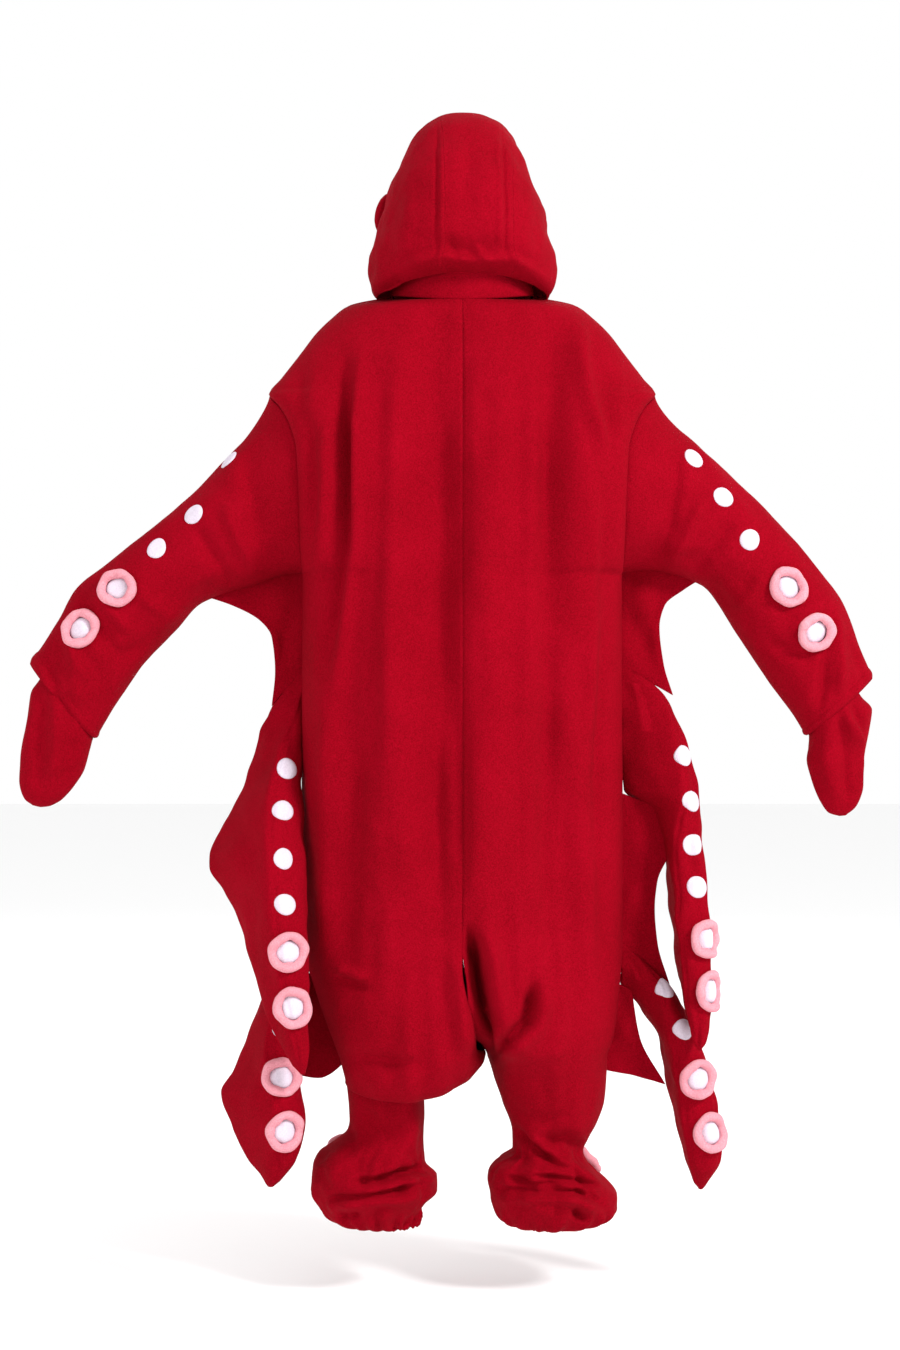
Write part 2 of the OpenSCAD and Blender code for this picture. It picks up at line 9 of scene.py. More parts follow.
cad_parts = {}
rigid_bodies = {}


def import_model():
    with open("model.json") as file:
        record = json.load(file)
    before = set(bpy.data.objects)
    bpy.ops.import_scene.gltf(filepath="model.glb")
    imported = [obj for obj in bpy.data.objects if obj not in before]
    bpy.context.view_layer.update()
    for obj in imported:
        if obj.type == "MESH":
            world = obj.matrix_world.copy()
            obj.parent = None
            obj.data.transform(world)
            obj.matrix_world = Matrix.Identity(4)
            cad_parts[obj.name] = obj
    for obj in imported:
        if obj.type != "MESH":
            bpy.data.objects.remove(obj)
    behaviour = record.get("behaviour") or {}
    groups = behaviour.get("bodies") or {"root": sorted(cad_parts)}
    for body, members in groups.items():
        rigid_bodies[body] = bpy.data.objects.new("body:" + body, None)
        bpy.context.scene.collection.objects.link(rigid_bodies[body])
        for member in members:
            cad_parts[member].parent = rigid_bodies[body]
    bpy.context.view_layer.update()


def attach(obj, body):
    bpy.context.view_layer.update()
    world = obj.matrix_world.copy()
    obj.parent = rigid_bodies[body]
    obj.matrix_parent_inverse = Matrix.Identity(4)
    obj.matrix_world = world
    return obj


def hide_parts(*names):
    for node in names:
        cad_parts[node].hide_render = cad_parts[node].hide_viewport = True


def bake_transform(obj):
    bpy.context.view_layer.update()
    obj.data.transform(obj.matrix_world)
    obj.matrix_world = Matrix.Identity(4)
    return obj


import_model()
mm = 0.001
sides = {"left": -1, "right": 1}


def cap(name):
    return name.capitalize()


# Camera, floor and light
view = {"distance": 4.0, "across": -0.018, "height": -0.546, "lens": 72.3, "floor": -1.45}


def buildStage():
    camera = bpy.data.objects.new("camera", bpy.data.cameras.new("camera"))
    camera.location = (view["across"], -view["distance"], view["height"])
    camera.rotation_euler = (math.radians(90), 0, 0)
    camera.data.sensor_fit = "VERTICAL"
    camera.data.sensor_height = 36
    camera.data.lens = view["lens"]
    bpy.context.collection.objects.link(camera)
    bpy.context.scene.camera = camera
    bpy.ops.mesh.primitive_plane_add(size=30, location=(0, 0, view["floor"]))
    floor = bpy.context.object
    floor.name = "floor"
    paint = bpy.data.materials.new("floorPaint")
    paint.use_nodes = True
    shader = paint.node_tree.nodes["Principled BSDF"]
    shader.inputs["Base Color"].default_value = (0.93, 0.93, 0.93, 1)
    shader.inputs["Roughness"].default_value = 0.9
    floor.data.materials.append(paint)
    world = bpy.context.scene.world or bpy.data.worlds.new("world")
    bpy.context.scene.world = world
    world.use_nodes = True
    sky = world.node_tree.nodes["Background"]
    sky.inputs["Color"].default_value = (1, 1, 1, 1)
    sky.inputs["Strength"].default_value = 1.0
    bpy.context.scene.view_settings.view_transform = "Standard"
    lamps = (("keyLight", (3.0, -2.6, 2.0), 1.0, 190), ("fillLight", (-3.2, -2.8, 0.4), 1.8, 34),
             ("backLight", (0.5, 3.6, 2.2), 2.5, 40))
    for name, place, size, power in lamps:
        light = bpy.data.lights.new(name, "AREA")
        light.size = size
        light.energy = power
        lamp = bpy.data.objects.new(name, light)
        lamp.location = place
        lamp.rotation_euler = (Vector((0, 0, -0.6)) - Vector(place)).to_track_quat("-Z", "Y").to_euler()
        bpy.context.collection.objects.link(lamp)


buildStage()
print("stage done")


# Small helpers
# Values of a table at x, on a smooth curve through its rows
def smoothRows(rows, x):
    n = len(rows)
    if x <= rows[0][0]:
        return rows[0][1:]
    if x >= rows[-1][0]:
        return rows[-1][1:]
    i = 0
    while rows[i + 1][0] < x:
        i += 1
    x0, x1 = rows[i][0], rows[i + 1][0]
    h = x1 - x0
    t = (x - x0) / h
    out = []
    for k in range(1, len(rows[0])):
        y0, y1 = rows[i][k], rows[i + 1][k]
        slope = (y1 - y0) / h
        left = (y0 - rows[i - 1][k]) / (x0 - rows[i - 1][0]) if i > 0 else slope
        right = (rows[i + 2][k] - y1) / (rows[i + 2][0] - x1) if i + 2 < n else slope
        m0 = 0 if left * slope <= 0 else 2 * left * slope / (left + slope)
        m1 = 0 if right * slope <= 0 else 2 * right * slope / (right + slope)
        a = (2 * t + 1) * (1 - t) ** 2
        b = t * (1 - t) ** 2
        c = t * t * (3 - 2 * t)
        d = t * t * (t - 1)
        out.append(a * y0 + b * h * m0 + c * y1 + d * h * m1)
    return out


def mix(a, b, t):
    return a + (b - a) * t


def step(low, high, x):
    t = min(1, max(0, (x - low) / (high - low)))
    return t * t * (3 - 2 * t)


def soft(value, power):
    return math.copysign(abs(value) ** power, value)


# Height of a fold that runs along a line of (x, z) points and fades at its ends
def ridge(points, width, height, x, z):
    best, along, total = 1e9, 0, 0
    done = 0
    for (ax, az), (bx, bz) in zip(points, points[1:]):
        dx, dz = bx - ax, bz - az
        size = math.hypot(dx, dz)
        t = min(1, max(0, ((x - ax) * dx + (z - az) * dz) / (size * size)))
        d = math.hypot(x - ax - t * dx, z - az - t * dz)
        if d < best:
            best, along = d, done + t * size
        done += size
    if best > 3 * width:
        return 0
    share = along / done
    ends = min(1, 4 * share + 0.25) * min(1, 4 * (1 - share) + 0.25)
    return height * ends * math.exp(-((best / width) ** 2))


# Where a point falls on the plane of the side seams when it is looked at from the camera
def seen(x, y, z):
    k = 1 / (1 + y * mm / view["distance"])
    across, height = view["across"] / mm, view["height"] / mm
    return (x - across) * k + across, (z - height) * k + height


# Makes an object of a bmesh, with its faces turned away from the point or axis inside
def meshPiece(name, bm, inside=None, thickness=0, smooth=True, offset=-1):
    bmesh.ops.recalc_face_normals(bm, faces=bm.faces)
    if inside is not None:
        out = sum((f.normal.dot(f.calc_center_median() - inside(f.calc_center_median())) * f.calc_area()
                   for f in bm.faces))
        if out < 0:
            bmesh.ops.reverse_faces(bm, faces=bm.faces)
    mesh = bpy.data.meshes.new(name)
    bm.to_mesh(mesh)
    bm.free()
    piece = bpy.data.objects.new(name, mesh)
    bpy.context.collection.objects.link(piece)
    if smooth:
        mesh.shade_smooth()
    if thickness:
        wall = piece.modifiers.new("thickness", "SOLIDIFY")
        wall.thickness = thickness
        wall.offset = offset
        wall.use_even_offset = False
    return piece


# A sheet of cloth: a grid whose points are moved to place(u, v)
def gridPiece(name, across, along, place, inside, thickness, closed=False):
    bm = bmesh.new()
    bmesh.ops.create_grid(bm, x_segments=across, y_segments=along, size=0.5)
    for v in bm.verts:
        v.co = Vector(place(v.co.x + 0.5, v.co.y + 0.5)) * mm
    if closed:
        bmesh.ops.remove_doubles(bm, verts=bm.verts, dist=1e-5)
    return meshPiece(name, bm, inside, thickness)


def movedGrid(bm, across, along, place):
    made = bmesh.ops.create_grid(bm, x_segments=across, y_segments=along, size=0.5)["verts"]
    for v in made:
        v.co = place(v.co.x + 0.5, v.co.y + 0.5)
    bmesh.ops.remove_doubles(bm, verts=made, dist=1e-5)


# Moves grid lines towards both edges, where the seams need them
def edgy(u, share=0.6):
    return mix(u, 0.5 - 0.5 * math.cos(math.pi * u), share)


# How far cloth sinks into a seam at a distance from it
def seamDip(distance, width=5.0, depth=2.4):
    return -depth * math.exp(-((distance / width) ** 2))


def wavy(x, y, z, size, height, seed=0):
    return height * noise.noise(Vector((x / size + seed, y / size, z / size)))


def frameAt(centre, outward):
    z = outward.normalized()
    x = Vector((0, 0, 1)).cross(z)
    x = x.normalized() if x.length > 0.01 else Vector((1, 0, 0))
    y = z.cross(x)
    return lambda a, b, c: centre + x * a + y * b + z * c


# Materials
# A socket that the usual signs work on
class Wire:
    def __init__(self, maker, socket):
        self.maker = maker
        self.socket = socket

    def make(self, operation, *values):
        return self.maker.node("ShaderNodeMath", {"operation": operation}, dict(enumerate(values)))

    def __add__(self, other):
        return self.make("ADD", self, other)

    def __mul__(self, other):
        return self.make("MULTIPLY", self, other)

    def __sub__(self, other):
        return self.make("SUBTRACT", self, other)

    def __rsub__(self, other):
        return self.make("SUBTRACT", other, self)

    def __pow__(self, other):
        return self.make("POWER", self, other)

    __radd__ = __add__
    __rmul__ = __mul__


# A material whose nodes are added by one method
class Finish:
    def __init__(self, name):
        self.material = bpy.data.materials.new(name)
        self.material.use_nodes = True
        self.tree = self.material.node_tree
        self.shader = self.tree.nodes["Principled BSDF"]

    def node(self, kind, settings=None, values=None, output=0):
        made = self.tree.nodes.new(kind)
        for key, value in (settings or {}).items():
            setattr(made, key, value)
        for key, value in (values or {}).items():
            self.put(made.inputs[key], value)
        return Wire(self, made.outputs[output])

    def put(self, socket, value):
        if isinstance(value, Wire):
            self.tree.links.new(value.socket, socket)
        else:
            socket.default_value = value

    def set(self, **values):
        for key, value in values.items():
            self.put(self.shader.inputs[key.replace("_", " ")], value)

    def place(self):
        return self.node("ShaderNodeTexCoord", output="Object")

    def noise(self, scale, detail=2.0, rough=0.5, vector=None):
        return self.node("ShaderNodeTexNoise", {}, {"Vector": vector or self.place(), "Scale": scale,
                                                    "Detail": detail, "Roughness": rough})

    def ramp(self, value, stops):
        made = self.tree.nodes.new("ShaderNodeValToRGB")
        points = made.color_ramp.elements
        while len(points) < len(stops):
            points.new(0.5)
        for point, (at, colour) in zip(points, stops):
            point.position = at
            point.color = (*colour, 1)
        self.put(made.inputs[0], value)
        return Wire(self, made.outputs[0])

    def bump(self, height, strength, distance):
        return self.node("ShaderNodeBump", {},
                         {"Height": height, "Strength": strength, "Distance": distance})


def fleece(name, deep, plain, light, pile=1.0, sheen=0.4):
    f = Finish(name)
    at = f.place()
    tufts = f.noise(520, 3, 0.62, at)
    curls = f.noise(1500, 2, 0.5, at)
    patches = f.noise(9, 3, 0.55, at)
    tone = tufts * 0.62 + curls * 0.18 + patches * 0.2
    f.set(Base_Color=f.ramp(tone, [(0.34, deep), (0.5, plain), (0.66, light)]))
    f.set(Roughness=0.95, Specular_IOR_Level=0.04, Sheen_Weight=sheen, Sheen_Roughness=0.45)
    f.set(Sheen_Tint=(*light, 1))
    f.set(Normal=f.bump(tufts * 0.75 + curls * 0.25, 0.55 * pile, 0.0022))
    return f.material


def buttonPlastic():
    f = Finish("buttonPlastic")
    f.set(Base_Color=f.ramp(f.noise(60), [(0.3, (0.3, 0.004, 0.02)), (0.7, (0.42, 0.008, 0.03))]))
    f.set(Roughness=0.22 + f.noise(200) * 0.12, Coat_Weight=0.3)
    return f.material


# Woven tape or elastic: fine ribs across it
def ribbed(name, plain, light, pitch):
    f = Finish(name)
    ribs = f.node("ShaderNodeTexWave", {"wave_type": "BANDS", "bands_direction": "Z"},
                  {"Vector": f.place(), "Scale": pitch, "Distortion": 0.4})
    f.set(Base_Color=f.ramp(ribs, [(0.2, plain), (0.8, light)]), Roughness=0.8)
    f.set(Normal=f.bump(ribs, 0.4, 0.0004))
    return f.material


redFleece = fleece("redFleece", (0.165, 0.0002, 0.0035), (0.255, 0.0004, 0.007), (0.335, 0.001, 0.012),
                   1.0, 0.02)
whiteFleece = fleece("whiteFleece", (0.56, 0.49, 0.58), (0.66, 0.585, 0.67), (0.74, 0.67, 0.75), 0.6,
                     0.02)
pinkFleece = fleece("pinkFleece", (0.62, 0.215, 0.26), (0.72, 0.285, 0.335), (0.79, 0.37, 0.42), 1.1,
                    0.03)
blackFleece = fleece("blackFleece", (0.010, 0.009, 0.011), (0.018, 0.017, 0.02), (0.036, 0.034, 0.04),
                     0.6, 0.1)
plastic = buttonPlastic()
tape = ribbed("neckTape", (0.34, 0.004, 0.02), (0.5, 0.01, 0.03), 500)


def finish(piece, material):
    piece.data.materials.clear()
    piece.data.materials.append(material)
    return piece


print("materials done")

# Body and legs
body = {
    "cloth": 2.6,
    "neck": (12, 100, 92, 90),         # height, half width, reach to the back and to the front
    "armholeTop": -133, "armholeLow": -398, "armholeDepth": 96,
    "hinge": 1100, "legBlend": (-1075, -1190),
}
# Height at the side, height at the middle of the back, outer edge, arc centre, inner reach, back, front,
# start of the arc in degrees, squareness
upperBody = [
    (12, -4, 105, 0, 0, 97, 94, 0, 1), (0, -12, 166, 0, 0, 103, 99, 0, 0.9),
    (-22, -30, 195, 0, 0, 110, 106, 0, 0.84),
    (-44, -48, 216, 0, 0, 112, 110, 0, 0.8), (-67, -67, 233, 0, 0, 118, 117, 0, 0.8),
    (-89, -89, 250, 0, 0, 123, 122, 0, 0.8),
    (-111, -111, 267, 0, 0, 127, 126, 0, 0.8), (-133, -133, 284, 0, 0, 130, 129, 0, 0.8),
    (-156, -156, 266, 0, 0, 133, 132, 0, 0.8), (-180, -180, 252, 0, 0, 136, 135, 0, 0.8),
    (-220, -220, 240, 0, 0, 139, 137, 0, 0.8),
    (-300, -300, 236, 0, 0, 142, 140, 0, 0.8), (-398, -398, 235, 0, 0, 144, 141, 0, 0.8),
    (-600, -600, 236, 0, 0, 145, 143, 0, 0.8), (-800, -800, 236, 0, 0, 147, 144, 0, 0.82)]
lowerBody = {
    "right": [
        (-940, -940, 236, 0, 0, 149, 144, 0, 0.84), (-1000, -1004, 232, 18, 40, 149, 140, -14, 0.88),
        (-1045, -1052, 228, 52, 62, 144, 130, -42, 0.92),
        (-1080, -1086, 222, 92, 74, 132, 112, -68, 0.96),
        (-1105, -1106, 214, 122, 86, 116, 96, -90, 1), (-1135, -1134, 213, 130, 84, 98, 86, -90, 1),
        (-1173, -1172, 210, 135, 76, 82, 78, -90, 1), (-1205, -1204, 199, 134, 63, 74, 72, -90, 1),
        (-1230, -1229, 185, 130, 56, 66, 66, -90, 1), (-1247, -1246, 180, 127, 53, 64, 66, -90, 1),
        (-1262, -1261, 184, 126, 74, 72, 74, -90, 1), (-1278, -1277, 197, 130, 91, 82, 82, -90, 1),
        (-1295, -1294, 214, 134, 96, 90, 88, -90, 1), (-1315, -1315, 229, 136, 94, 92, 88, -90, 1),
        (-1332, -1335, 229, 136, 90, 86, 84, -90, 1), (-1345, -1351, 214, 134, 78, 74, 72, -90, 1),
        (-1350, -1356, 190, 131, 60, 58, 58, -90, 1), (-1340, -1346, 174, 128, 46, 47, 47, -90, 1)],
    "left": [
        (-940, -940, 236, 0, 0, 149, 144, 0, 0.84), (-990, -1000, 222, 6, 40, 152, 142, -12, 0.88),
        (-1030, -1050, 208, 12, 50, 154, 134, -34, 0.9), (-1070, -1095, 192, 30, 66, 150, 120, -60, 0.94),
        (-1100, -1130, 180, 68, 102, 142, 102, -90, 1), (-1120, -1150, 174, 80, 92, 128, 92, -90, 1),
        (-1128, -1160, 172, 90, 76, 110, 88, -90, 1), (-1136, -1154, 170, 98, 62, 94, 84, -90, 1),
        (-1146, -1140, 170, 106, 57, 84, 80, -90, 1), (-1156, -1148, 169, 110, 56, 80, 78, -90, 1),
        (-1175, -1173, 167, 112, 56, 76, 75, -90, 1), (-1200, -1199, 166, 110, 54, 71, 71, -90, 1),
        (-1216, -1215, 170, 110, 53, 70, 70, -90, 1), (-1232, -1231, 188, 116, 59, 76, 72, -90, 1),
        (-1250, -1249, 212, 126, 70, 84, 78, -90, 1), (-1264, -1263, 219, 128, 74, 88, 82, -90, 1),
        (-1282, -1281, 222, 130, 93, 92, 86, -90, 1), (-1306, -1306, 223, 130, 93, 92, 86, -90, 1),
        (-1324, -1325, 214, 128, 74, 86, 82, -90, 1), (-1340, -1344, 202, 124, 58, 78, 76, -90, 1),
        (-1349, -1354, 180, 116, 50, 62, 60, -90, 1), (-1340, -1345, 152, 106, 46, 47, 47, -90, 1)]}
backFolds = [  # points, width, height of each fold that shows on the back
    ([(-153, -87), (-155, -195), (-158, -356), (-167, -440), (-183, -564)], 11, 9),
    ([(-171, -87), (-173, -195), (-177, -356), (-186, -440), (-199, -540)], 12, -10),
    ([(-192, -170), (-215, -421)], 13, 7), ([(-224, -163), (-224, -332)], 11, -8),
    ([(-40, -30), (-36, -400), (-40, -922)], 26, -11), ([(42, -20), (44, -500), (40, -930)], 30, 8),
    ([(132, -22), (138, -500), (134, -1010)], 20, -11),
    ([(-104, -60), (-110, -500), (-100, -960)], 24, 7),
    ([(170, -25), (175, -87), (190, -163), (211, -211)], 12, 9),
    ([(190, -251), (192, -502), (196, -620)], 13, 7), ([(160, -640), (158, -1000)], 17, -7),
    ([(13, -924), (35, -1064), (34, -1105)], 9, -26), ([(40, -930), (60, -1050), (58, -1090)], 13, 13),
    ([(-12, -960), (4, -1060), (4, -1110)], 14, 8),
    ([(108, -1005), (93, -1059), (45, -1105)], 8, -14),
    ([(128, -1010), (112, -1066), (70, -1112)], 12, 7),
    ([(-189, -980), (-143, -995)], 8, 6), ([(-192, -992), (-140, -1008)], 8, -6),
    ([(-150, -640), (-170, -960)], 16, -6), ([(-196, -600), (-200, -940)], 14, 6),
    ([(-160, -1110), (-60, -1122)], 10, -6), ([(214, -420), (206, -700), (212, -980)], 12, -7)]
frontFolds = [
    ([(60, -60), (70, -420), (58, -900)], 20, 8), ([(-64, -60), (-72, -420), (-60, -900)], 20, 8),
    ([(112, -140), (120, -560), (112, -1000)], 18, -9),
    ([(-116, -140), (-122, -560), (-110, -1000)], 18, -9),
    ([(165, -300), (168, -640), (160, -1010)], 16, 7),
    ([(-168, -280), (-166, -660), (-160, -1010)], 16, 7),
    ([(150, -90), (205, -190)], 14, -8), ([(-150, -90), (-205, -190)], 14, -8),
    ([(30, -960), (34, -1090)], 10, -18), ([(100, -1010), (48, -1095)], 10, -9),
    ([(-80, -1010), (16, -1098)], 10, -9)]
legFolds = {
    "left": [([(-156, -1295), (-121, -1290), (-91, -1281), (-62, -1278), (-40, -1278)], 7, -19),
             ([(-205, -1320), (-150, -1315), (-97, -1307), (-60, -1294)], 5, -13),
             ([(-170, -1310), (-121, -1304), (-62, -1287), (-38, -1292)], 7, 8),
             ([(-200, -1334), (-144, -1321), (-91, -1320), (-60, -1310)], 8, 9),
             ([(-180, -1347), (-150, -1340)], 7, -14),
             ([(-168, -1210), (-163, -1255), (-153, -1282)], 9, -9),
             ([(-115, -1278), (-77, -1231), (-65, -1200)], 11, 6),
             ([(-160, -1180), (-120, -1215), (-70, -1230)], 10, -4),
             ([(-90, -1270), (-130, -1285), (-160, -1284)], 9, 7)],
    "right": [([(72, -1212), (112, -1249), (146, -1272)], 5, -12),
              ([(118, -1233), (156, -1231), (176, -1246), (172, -1268)], 11, -14),
              ([(98, -1228), (144, -1259), (179, -1278), (216, -1308)], 6, 8),
              ([(104, -1283), (144, -1288), (173, -1293), (206, -1302)], 4.5, -13),
              ([(60, -1286), (100, -1298), (148, -1298)], 4.5, -11),
              ([(50, -1302), (94, -1308), (144, -1308), (173, -1309), (206, -1325)], 4.5, -13),
              ([(70, -1276), (120, -1279), (160, -1283)], 7, 6),
              ([(46, -1322), (114, -1317), (167, -1320), (206, -1343)], 8, 9),
              ([(164, -1336), (188, -1352)], 7, -15),
              ([(60, -1180), (110, -1206), (150, -1200)], 12, -5)]}


# The same rows, each led by its distance along the side of the body
def pathRows(rows):
    out, far = [], 0
    for i, row in enumerate(rows):
        if i:
            last = rows[i - 1]
            far += max(6, math.dist((row[1], row[5]), (last[1], last[5])),
                       math.dist((row[0], row[2]), (last[0], last[2])) * 0.5)
        out.append((far, *row))
    return out


foldStrength = 1.8


def bodyArmhole(z):
    mid = (body["armholeTop"] + body["armholeLow"]) / 2
    half = (body["armholeTop"] - body["armholeLow"]) / 2
    return body["armholeDepth"] * math.sqrt(max(0, 1 - ((z - mid) / half) ** 2))


def bodyPoint(rows, side, way, u, s):
    zSide, zMid, outer, centre, inner, back, front, start, square = smoothRows(rows, s)
    depth = back if way < 0 else front
    if way > 0:
        zMid = zSide
    turn = math.radians(mix(start, 90, u))
    sine, cosine = math.sin(turn), math.cos(turn)
    reach = outer - centre if sine > 0 else inner
    x = centre + reach * soft(sine, square)
    z = mix(zSide, zMid, soft(max(0, cosine), 0.6))
    hole = bodyArmhole(z) if z > body["armholeLow"] else 0
    y = hole + (depth - hole) * soft(max(0, cosine), square)
    seat = x * side
    folds = backFolds if way < 0 else frontFolds
    seenX, seenZ = seen(seat, way * y, z)
    lift = sum(ridge(*fold, seenX, seenZ) for fold in folds) * foldStrength * step(-1160, -1120, z)
    lift += sum(ridge(*fold, seenX,
                      seenZ) for fold in legFolds["left" if side < 0 else "right"]) * step(-1130, -1170,
                                                                                           z) * 1.3
    drape = step(12, -160, z)
    lift += wavy(seat, way * 200, z, 90, 6, 3) + wavy(seat * 2.2, way * 90, z * 0.3, 58, 9 * drape, 11)
    lift += wavy(seat, y, z * 0.8, 27, 1.8, 7) + wavy(seat * 1.5, way * 40, z, 13, 0.7, 17)
    pouch = step(-1212, -1250, z) * step(-1352, -1330, z)
    sway = noise.noise(Vector((3 * math.cos(turn) + side * 5, 3 * math.sin(turn) * way, z / 70)))
    rolls = 6.5 if way > 0 else 2.2
    rolled = rolls * math.sin((z + 26 * sway) / 7.5 + 3 * sway)
    lift += pouch * (rolled + 2.4 * math.sin(turn * 6 + z / 26 + 4 * sway))
    gather = step(-1318, -1346, z)
    lift = mix(lift, 5 * math.sin(turn * 17 + 3 * sway), gather)
    lift *= 1 - abs(sine) ** 10 * 0.9
    if hole:
        lift *= step(0, 26, (1 - u) * 200)
    if way > 0 and z > -700:
        lift *= step(12, 44, x)
    neckFade = step(12, -26, z)
    lift *= neckFade
    arc = 0.5 * math.pi * max(depth, outer) * 0.95
    seams = seamDip((1 - u) * arc) + (seamDip(u * arc) if start > -89 or z > -1104 else 0)
    lift += seams
    return (side * (x + lift * 0.75 * sine), way * (y + lift * max(0.15, cosine)), z)


def buildBody():
    for name, side in sides.items():
        rows = pathRows(upperBody + lowerBody[name])
        total = rows[-1][0]
        legX = 128 if side > 0 else -106
        for part, way in (("back", -1), ("front", 1)):
            def place(u, v):
                return bodyPoint(rows, side, way, edgy(u), v * total)

            def inside(p):
                return Vector((side * 0.1 if p.z > -1.1 else legX * mm, 0, min(-0.05, p.z)))

            piece = gridPiece(part + "Panel" + cap(name), 84, 330, place, inside, body["cloth"] * mm)
            finish(piece, redFleece)
            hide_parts(f"{part}_panel_{name}", f"leg_{name}", "seat_gusset")
            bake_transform(piece)


buildBody()
print("body done")

# Sleeves
arms = {
    "left": [(272, -152, 241, -384, 84), (335, -213, 300, -412, 80), (407, -288, 379, -437, 72),
             (470, -340, 424, -482, 66),
             (530, -387, 472, -532, 62), (571, -421, 502, -576, 58), (598, -470, 522, -607, 53),
             (638, -528, 541, -640, 48)],
    "right": [(272, -152, 241, -384, 84), (335, -197, 298, -396, 80), (410, -266, 351, -412, 72),
              (470, -326, 402, -480, 66),
              (530, -396, 443, -543, 62), (563, -443, 470, -580, 58), (584, -500, 489, -606, 53),
              (606, -549, 507, -636, 48)]}
tips = {
    "left": [(606, -524, 534, -612, 40), (625, -553, 545, -640, 44), (637, -571, 549, -655, 42),
             (643, -612, 557, -684, 36),
             (653, -664, 573, -711, 30), (655, -700, 595, -733, 21), (647, -728, 612, -740, 11),
             (634, -738, 622, -741, 3)],
    "right": [(566, -538, 503, -608, 40), (589, -576, 512, -637, 44), (606, -597, 511, -652, 42),
              (602, -626, 508, -670, 37),
              (594, -670, 514, -697, 30), (592, -712, 527, -730, 21), (582, -740, 542, -750, 11),
              (566, -753, 556, -754, 3)]}
tipFolds = {"left": [([(-612, -560), (-618, -640), (-622, -712)], 11, -8),
                     ([(-590, -540), (-594, -640), (-600, -716)], 10, 8),
                     ([(-630, -570), (-640, -660)], 8, 5), ([(-566, -640), (-580, -700)], 9, -4)],
            "right": [([(551, -566), (563, -609), (587, -650), (591, -705)], 8, 10),
                      ([(566, -578), (584, -615), (602, -640)], 8, -9),
                      ([(530, -600), (534, -680), (550, -730)], 12, 5),
                      ([(548, -600), (560, -660), (566, -720)], 8, -7)]}
armFolds = {
    "left": [([(-290, -190), (-262, -330), (-240, -392)], 10, 7),
             ([(-318, -210), (-300, -330), (-262, -400)], 11, -9),
             ([(-346, -300), (-300, -400)], 10, 8), ([(-388, -330), (-330, -425)], 11, -8),
             ([(-560, -440), (-500, -520), (-440, -500)], 11, -8), ([(-540, -420), (-478, -490)], 10, 7),
             ([(-590, -480), (-540, -560)], 10, 7), ([(-470, -430), (-410, -470)], 10, 6),
             ([(-606, -520), (-596, -560), (-580, -620)], 9, -8), ([(-570, -490), (-562, -590)], 10, 6),
             ([(-430, -290), (-500, -350), (-560, -400)], 18, 5)],
    "right": [([(286, -180), (262, -330), (240, -392)], 10, 7),
              ([(316, -200), (300, -330), (262, -400)], 11, -9),
              ([(350, -290), (300, -395)], 10, 8), ([(392, -320), (330, -405)], 11, -8),
              ([(560, -450), (500, -520), (440, -500)], 11, -8), ([(545, -425), (470, -490)], 10, 7),
              ([(546, -450), (553, -519), (552, -575)], 9, 10),
              ([(532, -500), (524, -560), (518, -600)], 9, -8),
              ([(572, -500), (590, -560)], 9, -8), ([(440, -400), (400, -450)], 10, 6),
              ([(430, -270), (500, -330), (560, -400)], 18, 5)]}


def armSection(rows, s):
    keyed = [(i, *row) for i, row in enumerate(rows)]
    return smoothRows(keyed, s)


def armPoint(name, side, u, s, rows, folds=()):
    topX, topZ, lowX, lowZ, depth = armSection(rows, s)
    turn = 2 * math.pi * u
    c, sn = math.cos(turn), math.sin(turn)
    midX, midZ = (topX + lowX) / 2, (topZ + lowZ) / 2
    halfX, halfZ = (topX - lowX) / 2, (topZ - lowZ) / 2
    x, z = midX + halfX * c, midZ + halfZ * c
    y = -depth * sn
    size = math.hypot(halfX, halfZ)
    back = max(0, sn)
    lift = sum(ridge(*fold, side * x, z) for fold in folds) * back ** 0.7 if back > 0 else 0
    lift += wavy(side * x, y * 1.6, z, 46, 5, 21) + wavy(x, y, z, 20, 1.4, 5)
    if back <= 0:
        lift += 4 * math.sin(s * 5 + c * 2) * (-sn) * step(0.4, 1.2, s)
    return x, y, z, lift * (1 - abs(c) ** 6 * 0.75), (halfX / size * c, -sn, halfZ / size * c)


def bodySide(z):
    keyed = [(-row[0], row[2]) for row in upperBody]
    return smoothRows(keyed, -z)[0]


def hemPlace(name, side, u, v):
    rows = arms[name]
    last = len(rows) - 1
    s = last - 0.30 + 0.30 * v
    x, y, z, lift, n = armPoint(name, side, u, s, rows, armFolds[name])
    lift += seamDip((last - s) * 60, 4, 1.5) + 2.2 * math.sin(math.pi * v) ** 0.5 - 0.6
    x, y, z = x + lift * n[0], y + lift * n[1], z + lift * n[2]
    return side * x, y, z


